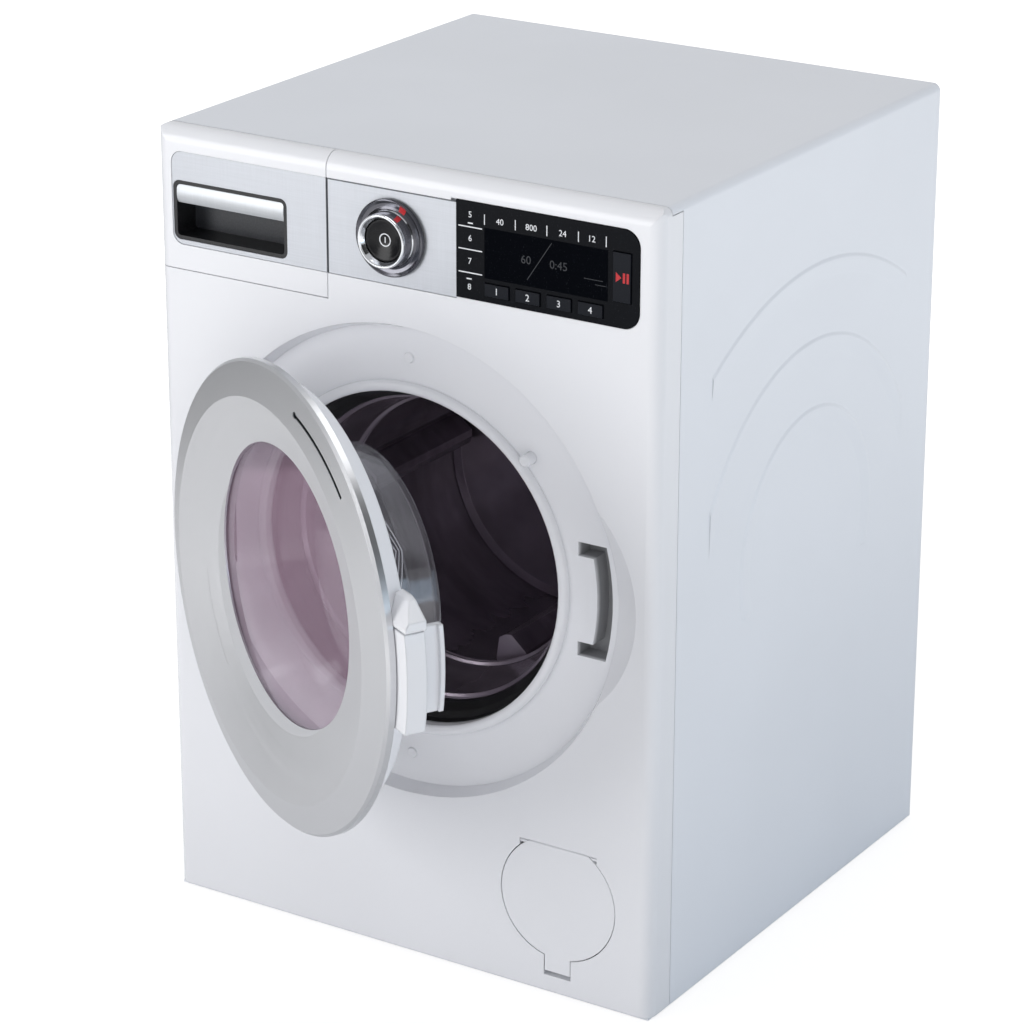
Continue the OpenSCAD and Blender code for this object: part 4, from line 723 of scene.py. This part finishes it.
class WASHER_OT_panel(bpy.types.Operator):
    """Finish the fascia, panel, keys and board, and print the marks on the panel"""

    bl_idname = "washer.panel_print"
    bl_label = "Panel and keys"

    def execute(self, context):
        finish, trim = settings(), context.scene.washer_trim
        # The fascia gets painted shadow lines along its top and left edges.
        foil = brushed_foil("fascia_foil", finish.foil, "control_fascia", top=True, left=True)
        dress(foil, "control_fascia")
        dress(gloss_black("panel_black", finish.panel, 0.2, shine=0.06, coat=0), "display_panel")
        key_black = gloss_black("key_black", tone(finish.panel, 2.1), 0.25, shine=0.1, coat=0)
        keys = [f"programme_button_{i}" for i in range(1, 5)]
        dress(key_black, "start_button", *keys)
        dress(circuit_mask("board_green", srgb(24, 92, 52)), "circuit_board")
        dress(rubber("keypad_rubber", srgb(120, 122, 126)), "keypad_mat")
        dress(moulding("switch_grey", srgb(132, 134, 138), 0.45, 1200, 0.01), "knob_switch")
        white = print_ink("white_ink", finish.print_white)
        red = print_ink("red_ink", finish.print_red)
        dark = print_ink("dark_ink", tone(finish.panel, 3.1))
        glass = gloss_black("display_glass", tone(finish.panel, 0.75), 0.25, shine=0.0, coat=0)
        front = self.depth("display_panel")
        film, sunk = trim.mark_depth / MM, 0.02

        def display(shape):
            bar(shape, 31.2, 74.6, 235.0, 250.8, front - film / 2, front + sunk)

        def marks(shape):
            line = trim.row_line / MM
            for z in (250.2, 243.1, 235.8):
                bar(shape, 21.9, 30.4, z - line / 2, z + line / 2, front - film, front + sunk)
            for x, z in ((25.3, 251.4), (24.8, 233.9)):
                bar(shape, x, x + 1.8, z - 0.2, z + 0.2, front - film, front + sunk)
            for x in (31.25, 42.2, 53.3, 64.3, 73.9):
                bar(shape, x - 0.15, x + 0.15, 251.7, 254.9, front - film, front + sunk)
            for text, x, z in (("40", 36.7, 253.4), ("800", 47.8, 253.4), ("24", 58.8, 253.4),
                               ("12", 69.1, 253.4), ("5", 26.1, 254.1), ("6", 26.1, 246.7),
                               ("7", 26.0, 239.5), ("8", 25.8, 231.4)):
                numeral(shape, text, x, z, 1.9, front - film, front + sunk)

        def faint(shape):
            stroke(shape, (55.0, 249.8), (46.4, 237.0), 0.25, front - film, front)
            for x0, x1, z in ((66.3, 72.9, 240.9), (70.2, 73.9, 239.5)):
                bar(shape, x0, x1, z - 0.1, z + 0.1, front - film, front)
            for text, x in (("60", 46.0), ("0:45", 57.4)):
                numeral(shape, text, x, 243.2, 2.6, front - film, front)

        piece("display_window", "cabinet", glass, display)
        piece("panel_marks", "cabinet", white, marks)
        piece("display_marks", "cabinet", dark, faint)
        for index, key in enumerate(keys, 1):
            low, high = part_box(key)
            top = self.depth(key)

            def number(shape, text=str(index), low=low, high=high, top=top):
                x, z = (low.x + high.x) / 2 / MM, (low.z + high.z) / 2 / MM
                numeral(shape, text, x, z, 2.1, top - film, top + sunk)

            piece(f"key_number_{index}", key, white, number)
        top = self.depth("start_button")

        def start(shape):
            prism(shape, [(77.6, 241.7), (79.5, 243.25), (77.6, 244.8)], top - film, top + sunk)
            for x in (80.0, 81.3):
                bar(shape, x, x + 0.8, 241.7, 244.8, top - film, top + sunk)

        piece("start_symbol", "start_button", red, start)
        return {"FINISHED"}

    @staticmethod
    def depth(node):
        """Depth of the node's front in mm behind the front face."""
        return (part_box(node)[0].y - FRONT_Y) / MM


class WASHER_OT_knob(bpy.types.Operator):
    """Finish the turning knob and its power button, and lay their marks"""

    bl_idname = "washer.knob"
    bl_label = "Knob"

    def execute(self, context):
        finish, trim = settings(), context.scene.washer_trim
        low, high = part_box("programme_knob")
        x, z = (low.x + high.x) / 2, (low.z + high.z) / 2
        dress(knob_plating((x, z)), "programme_knob")
        dress(gloss_black("cap_black", srgb(16, 16, 19), 0.16, shine=0.22, coat=0), "power_button")
        dress(moulding("retainer_grey", srgb(150, 152, 156), 0.45, 1200, 0.01), "knob_retainer")
        white = print_ink("white_ink_cap", finish.print_white)
        red = print_ink("red_ink_knob", finish.print_red)
        film = trim.mark_depth / MM
        cx, cz = x / MM, z / MM
        cap, skirt = face_of("power_button"), face_of("programme_knob")

        def power(shape):
            half_wide, half_high = 0.17, 0.9
            laid(shape, cap, sector(cx, cz, 1.75, 2.1, 0, 360, 48, 1), film)
            dash = [
                [(cx + side, cz - half_high), (cx + side, cz + half_high)]
                for side in (half_wide, -half_wide)
            ]
            laid(shape, cap, dash, film)

        def pointer(shape):
            laid(shape, skirt, sector(cx, cz, 9.6, 12.0, 56, 69, 8, 4), film)

        piece("power_symbol", "power_button", white, power)
        piece("knob_pointer", "knob", red, pointer)
        return {"FINISHED"}


class WASHER_OT_drawer(bpy.types.Operator):
    """Finish the detergent drawer and its guide"""

    bl_idname = "washer.drawer"
    bl_label = "Drawer"

    def execute(self, context):
        finish = settings()
        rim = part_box("drawer_grip")[0].y
        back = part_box("drawer_grip")[1].y
        rim_deep, wall_thick = 0.45 * MM, 1.6 * MM
        white = moulding("drawer_white", finish.front, 0.22, 1500, 0.0015, 0.35, 0.12)
        dress(white, "drawer_front")
        # The drawer facing gets a painted shadow line along its right edge.
        foil = brushed_foil("drawer_foil", finish.foil, "drawer_facing", right=True)
        dress(foil, "drawer_facing")
        cup = grip_finish(rim + rim_deep, back - wall_thick, finish.gasket, srgb(30, 31, 34))
        dress(cup, "drawer_grip")
        dress(brushed_foil("handle_foil", srgb(186, 189, 193), metal=0.85), "drawer_strip")
        tray = moulding("tray_white", tone(finish.body, 0.98), 0.42, 1500, 0.01, 0.3)
        dress(tray, "drawer_tray")
        dress(moulding("guide_grey", srgb(150, 152, 156), 0.5, 1200, 0.01, 0.3), "drawer_guide")
        return {"FINISHED"}


class WASHER_OT_door(bpy.types.Operator):
    """Finish the door, add the moulded ribs of its bowl and back its ring"""

    bl_idname = "washer.door"
    bl_label = "Door"

    def execute(self, context):
        finish, trim = settings(), context.scene.washer_trim
        swing = door_closed_to_rest()
        across = swing.to_3x3() @ Vector((1, 0, 0))
        middle = swing @ place(0, 0, DOOR_Z / MM)
        low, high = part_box("door_front_ring")
        unswing = swing.inverted()
        ring = frame["nodes"]["door_front_ring"].data.vertices
        face = min((unswing @ v.co).y for v in ring) - FRONT_Y
        rim = (high.z - low.z) / 2
        # groove_in and groove_deep place the painted shade of the ring's curved channel.
        groove_in, groove_deep = 8.2 * MM, 0.3 * MM
        silver = silver_ring(
            "ring_silver", finish.ring, middle, across, rim - groove_in, face + groove_deep
        )
        dress(silver, "door_front_ring")
        dress(
            moulding("door_white", finish.front, 0.24, 1500, 0.0015, 0.35, 0.2),
            "door_rear_ring",
        )
        dress(
            moulding("latch_white", finish.front, 0.24, 1500, 0.0015, 0.9, 0.2),
            "latch_block", "latch_lever",
        )
        dress(clear_plastic("window_tint", finish.window, 0.14, 0.6, 0.5), "door_window")
        bowl = clear_plastic("bowl_clear", srgb(232, 232, 238), 0.06, 0.6, 0.8)
        rib_clear = clear_plastic("rib_clear", srgb(240, 240, 246), 0.45, 0.9, 0.3)
        dress(bowl, "door_bowl")
        dress(steel("door_screw_steel", (0.6, 0.6, 0.62), (900, 900, 900), 0.3), "door_screws")
        spring = steel("latch_spring_steel", (0.5, 0.5, 0.53), (3000, 3000, 3000), 0.25)
        dress(spring, "latch_spring")
        low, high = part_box("door_bowl")
        wide = (high.z - low.z) / 2 / MM - 5.5

        def ribs(shape):
            for span, tip in ((31, 12.4), (23, 11.4), (15, 10.3)):
                self.rib(shape, swing, wide, span, tip, trim.bowl_rib / MM)

        def backing(shape):
            self.backing(shape, swing, face / MM, rim / MM)

        piece("bowl_ribs", "door", rib_clear, ribs)
        piece("ring_backing", "door", silver, backing)
        return {"FINISHED"}

    @staticmethod
    def on_door(swing, radius, turn, t):
        """A point of the standing door, by its place on the closed one in mm and degrees."""
        x, z = radius * math.cos(math.radians(turn)), radius * math.sin(math.radians(turn))
        return swing @ (place(x, t, 0) + Vector((0, 0, DOOR_Z + z * MM)))

    def backing(self, shape, swing, face, rim):
        """A thin strip under the dished face, where the dish is deeper than the ring is thick."""
        dish_x, dish_z, dish_in, fall = -6.4, -3.2, 5.4, 0.2
        inner, outer, gap, thick = 56, 57.8, 0.03, 0.4
        rows = []
        for turn in range(182, 227, 2):
            row = []
            for radius, under in (
                (inner, gap), (outer, gap), (outer, gap + thick), (inner, gap + thick)
            ):
                x, z = radius * math.cos(math.radians(turn)), radius * math.sin(math.radians(turn))
                inward = rim - dish_in - math.hypot(x - dish_x, z - dish_z)
                t = face - 1 + fall * inward + under
                row.append(shape.verts.new(self.on_door(swing, radius, turn, t)))
            rows.append(row)
        sweep(shape, rows)

    def rib(self, shape, swing, wide, span, tip, width):
        """A pointed arch of thin rib on the taper of the bowl, above the latch."""
        middle, foot, slope, proud, sunk, steps = 32, 0.6, 2 / 14.5, 0.3, -0.05, 28
        rows = []
        for i in range(-steps, steps + 1):
            share = 1 - abs(i) / steps
            turn = middle + span * i / steps
            depth = foot + (tip - foot) * share ** 0.55
            ring = []
            for shift, lift in ((-0.5, sunk), (0, proud), (0.5, sunk)):
                t = depth + shift * width
                radius = wide - slope * (t + 2) + lift
                ring.append(shape.verts.new(self.on_door(swing, radius, turn, t)))
            rows.append(ring)
        sweep(shape, rows)


class WASHER_OT_drum(bpy.types.Operator):
    """Finish the drum, its paddles and the tub"""

    bl_idname = "washer.drum"
    bl_label = "Drum"

    def execute(self, context):
        finish = settings()
        dress(dark_lacquer("drum_plating", finish.drum), "drum")
        dress(dark_lacquer("paddle_plating", tone(finish.drum, 1.1), 0.2), "drum_paddles")
        dress(moulding("tub_grey", srgb(60, 60, 64), 0.5, 1200, 0.02), "tub")
        dress(steel("shaft_steel", (0.6, 0.6, 0.62), (2400, 200, 2400), 0.2), "drum_shaft")
        dress(steel("bush_bronze", (0.55, 0.38, 0.18), (1500, 1500, 1500), 0.35), "shaft_bush")
        return {"FINISHED"}


class WASHER_OT_drive(bpy.types.Operator):
    """Finish the gears, motor, speaker and cells"""

    bl_idname = "washer.drive"
    bl_label = "Drive and power"

    def execute(self, context):
        dress(
            moulding("gear_acetal", srgb(232, 228, 216), 0.3, 1400, 0.004, 0.15),
            "drum_gear", "idler_gear", "motor_pinion",
        )
        dress(moulding("gearbox_grey", srgb(140, 142, 146), 0.5, 1200, 0.02), "gearbox_plate")
        dress(steel("motor_steel", (0.56, 0.56, 0.58), (600, 120, 600), 0.3), "drive_motor")
        low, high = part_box("speaker")
        centre = ((low.x + high.x) / 2, (low.z + high.z) / 2)
        dress(speaker_finish(centre, (high.x - low.x) * 0.43), "speaker")
        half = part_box("battery_cells")[1].x
        dress(cell_jacket("cell_jacket", srgb(40, 52, 66), half - 2.5 * MM), "battery_cells")
        contact = steel("contact_steel", (0.66, 0.66, 0.66), (1200, 1200, 1200), 0.2)
        dress(contact, "battery_contacts")
        return {"FINISHED"}


class WASHER_OT_stage(bpy.types.Operator):
    """Set the camera, the floor, the lamps and the even light"""

    bl_idname = "washer.stage"
    bl_label = "Stage"

    def execute(self, context):
        studio = context.scene.washer_studio
        self.camera(context, studio)
        context.scene.view_settings.view_transform = "Standard"
        self.world(context, studio)
        self.floor(context)
        aim = Vector((0, -0.05, 0.13))
        key, fill = studio.key_power, studio.fill_power
        white, sky, cool = (1, 1, 1), (0.62, 0.82, 1.0), (0.93, 0.96, 1)
        self.lamp(context, "front_softbox", (-0.74, -0.92, 0.34), aim, 0.85, key, white)
        self.lamp(context, "side_softbox", (1.35, 0.15, 0.12), aim, 0.9, fill, sky)
        self.lamp(context, "top_softbox", (0.1, 0.35, 1.6), aim, 1.2, fill * 1.65, white)
        self.lamp(context, "camera_softbox", (0.85, -0.95, 0.3), aim, 0.5, key * 0.06, cool)
        dark, grey, pale = 0.04, 0.34, 0.9
        low, right = (0, -0.1, 0.1), (0.09, 0, 0.2)
        self.card(context, "dark_card_left", (-0.85, -0.7, 0.05), aim, 0.35, 1.2, dark)
        self.card(context, "dark_card_low", (-0.5, -0.1, 0.1), low, 0.6, 0.2, grey)
        self.card(context, "dark_card_right", (0.8, 0.2, 0.75), right, 1.5, 0.8, dark)
        self.card(context, "bright_card_low", (0.1, -1.3, 0), aim, 1.2, 0.25, pale)
        return {"FINISHED"}

    @staticmethod
    def camera(context, studio):
        spot = Vector((0.62662, -1.00782, 0.57356))
        azimuth, elevation, roll = (math.radians(v) for v in (32.5407, 20.7267, 0.0875))
        back = Vector((
            math.sin(azimuth) * math.cos(elevation),
            -math.cos(azimuth) * math.cos(elevation),
            math.sin(elevation),
        ))
        right = Vector((0, 0, 1)).cross(back).normalized()
        lens = bpy.data.cameras.new("camera")
        lens.lens = studio.lens
        lens.sensor_width = 36
        view = Matrix((right, back.cross(right), back)).transposed().to_4x4()
        view = view @ Matrix.Rotation(roll, 4, "Z")
        view.translation = spot
        camera = bpy.data.objects.new("camera", lens)
        context.scene.collection.objects.link(camera)
        camera.matrix_world = view
        context.scene.camera = camera

    @staticmethod
    def world(context, studio):
        world = bpy.data.worlds.new("even_light")
        world.use_nodes = True
        tree = world.node_tree
        tree.nodes.clear()
        out = tree.nodes.new("ShaderNodeOutputWorld")
        mix = tree.nodes.new("ShaderNodeMixShader")
        rays = tree.nodes.new("ShaderNodeLightPath")
        even, seen = (tree.nodes.new("ShaderNodeBackground") for _ in range(2))
        even.inputs["Color"].default_value = (0.97, 0.98, 1.0, 1)
        even.inputs["Strength"].default_value = studio.world_level
        seen.inputs["Color"].default_value = (1, 1, 1, 1)
        seen.inputs["Strength"].default_value = 1.0
        tree.links.new(rays.outputs["Is Camera Ray"], mix.inputs[0])
        tree.links.new(even.outputs[0], mix.inputs[1])
        tree.links.new(seen.outputs[0], mix.inputs[2])
        tree.links.new(mix.outputs[0], out.inputs["Surface"])
        context.scene.world = world

    @staticmethod
    def floor(context):
        """A pale round floor that fades into the background and keeps the shadow."""
        mesh = bpy.data.meshes.new("floor")
        shape = bmesh.new()
        bmesh.ops.create_circle(shape, cap_ends=True, radius=3.2, segments=96)
        shape.to_mesh(mesh)
        shape.free()
        ground = bpy.data.objects.new("floor", mesh)
        context.scene.collection.objects.link(ground)
        shade = Shade("floor_paper", specular_ior_level=0.1, roughness=0.8)
        x, y, _ = shade.parts()
        distance = (x * x + y * y) ** 0.5
        tooth = shade.noise(300, 3, 0.6)
        shade.set(base_color=shade.blend(tooth, srgb(247, 247, 248), srgb(250, 250, 251)))
        glow = shade.tree.nodes.new("ShaderNodeEmission")
        glow.inputs["Strength"].default_value = 1.3
        mix = shade.tree.nodes.new("ShaderNodeMixShader")
        faded = distance.ramp(0.2, 0.7)
        seen = shade.node("ShaderNodeLightPath", out="Is Camera Ray")
        shade.tree.links.new((faded + (1 - faded) * seen * 0.6).socket, mix.inputs[0])
        shade.tree.links.new(shade.skin.outputs[0], mix.inputs[1])
        shade.tree.links.new(glow.outputs[0], mix.inputs[2])
        shade.tree.links.new(mix.outputs[0], shade.out.inputs["Surface"])
        mesh.materials.append(shade.material)

    @staticmethod
    def aimed(item, spot, aim):
        item.location = spot
        item.rotation_euler = (Vector(aim) - Vector(spot)).to_track_quat("-Z", "Y").to_euler()

    def lamp(self, context, name, spot, aim, size, power, tint):
        light = bpy.data.lights.new(name, "AREA")
        light.shape = "DISK"
        light.size = size
        light.energy = power
        light.color = tint
        lamp = bpy.data.objects.new(name, light)
        context.scene.collection.objects.link(lamp)
        self.aimed(lamp, spot, aim)

    def card(self, context, name, spot, aim, wide, high, level):
        """A card that the plated parts mirror."""
        mesh = bpy.data.meshes.new(name)
        shape = bmesh.new()
        corners = [(-1, -1), (1, -1), (1, 1), (-1, 1)]
        shape.faces.new([shape.verts.new((x * wide / 2, z * high / 2, 0)) for x, z in corners])
        shape.to_mesh(mesh)
        shape.free()
        item = bpy.data.objects.new(name, mesh)
        context.scene.collection.objects.link(item)
        self.aimed(item, spot, aim)
        shade = Shade(name, roughness=0.9, specular_ior_level=0.0)
        shade.set(base_color=(level, level, level))
        mesh.materials.append(shade.material)
        item.visible_camera = False


class WASHER_PT_sidebar(bpy.types.Panel):
    """Sizes, colours and steps of the toy washer"""

    bl_idname = "WASHER_PT_sidebar"
    bl_label = "Toy washer"
    bl_space_type = "VIEW_3D"
    bl_region_type = "UI"
    bl_category = "Toy washer"

    def draw(self, context):
        layout = self.layout
        for name, group in GROUPS.items():
            column = layout.box().column()
            for field in group.__annotations__:
                column.prop(getattr(context.scene, name), field)
        for step in STEPS:
            layout.operator(step.bl_idname)


GROUPS = {"washer_finish": WasherFinish, "washer_trim": WasherTrim, "washer_studio": WasherStudio}
STEPS = (
    WASHER_OT_stage,
    WASHER_OT_cabinet,
    WASHER_OT_panel,
    WASHER_OT_knob,
    WASHER_OT_drawer,
    WASHER_OT_door,
    WASHER_OT_drum,
    WASHER_OT_drive,
)
CLASSES = (*GROUPS.values(), *STEPS, WASHER_PT_sidebar)


def register():
    for cls in CLASSES:
        bpy.utils.register_class(cls)
    for name, group in GROUPS.items():
        setattr(bpy.types.Scene, name, PointerProperty(type=group))


def unregister():
    for name in GROUPS:
        delattr(bpy.types.Scene, name)
    for cls in reversed(CLASSES):
        bpy.utils.unregister_class(cls)


def main():
    register()
    for step in STEPS:
        group, name = step.bl_idname.split(".")
        getattr(getattr(bpy.ops, group), name)()


if __name__ == "__main__":
    main()
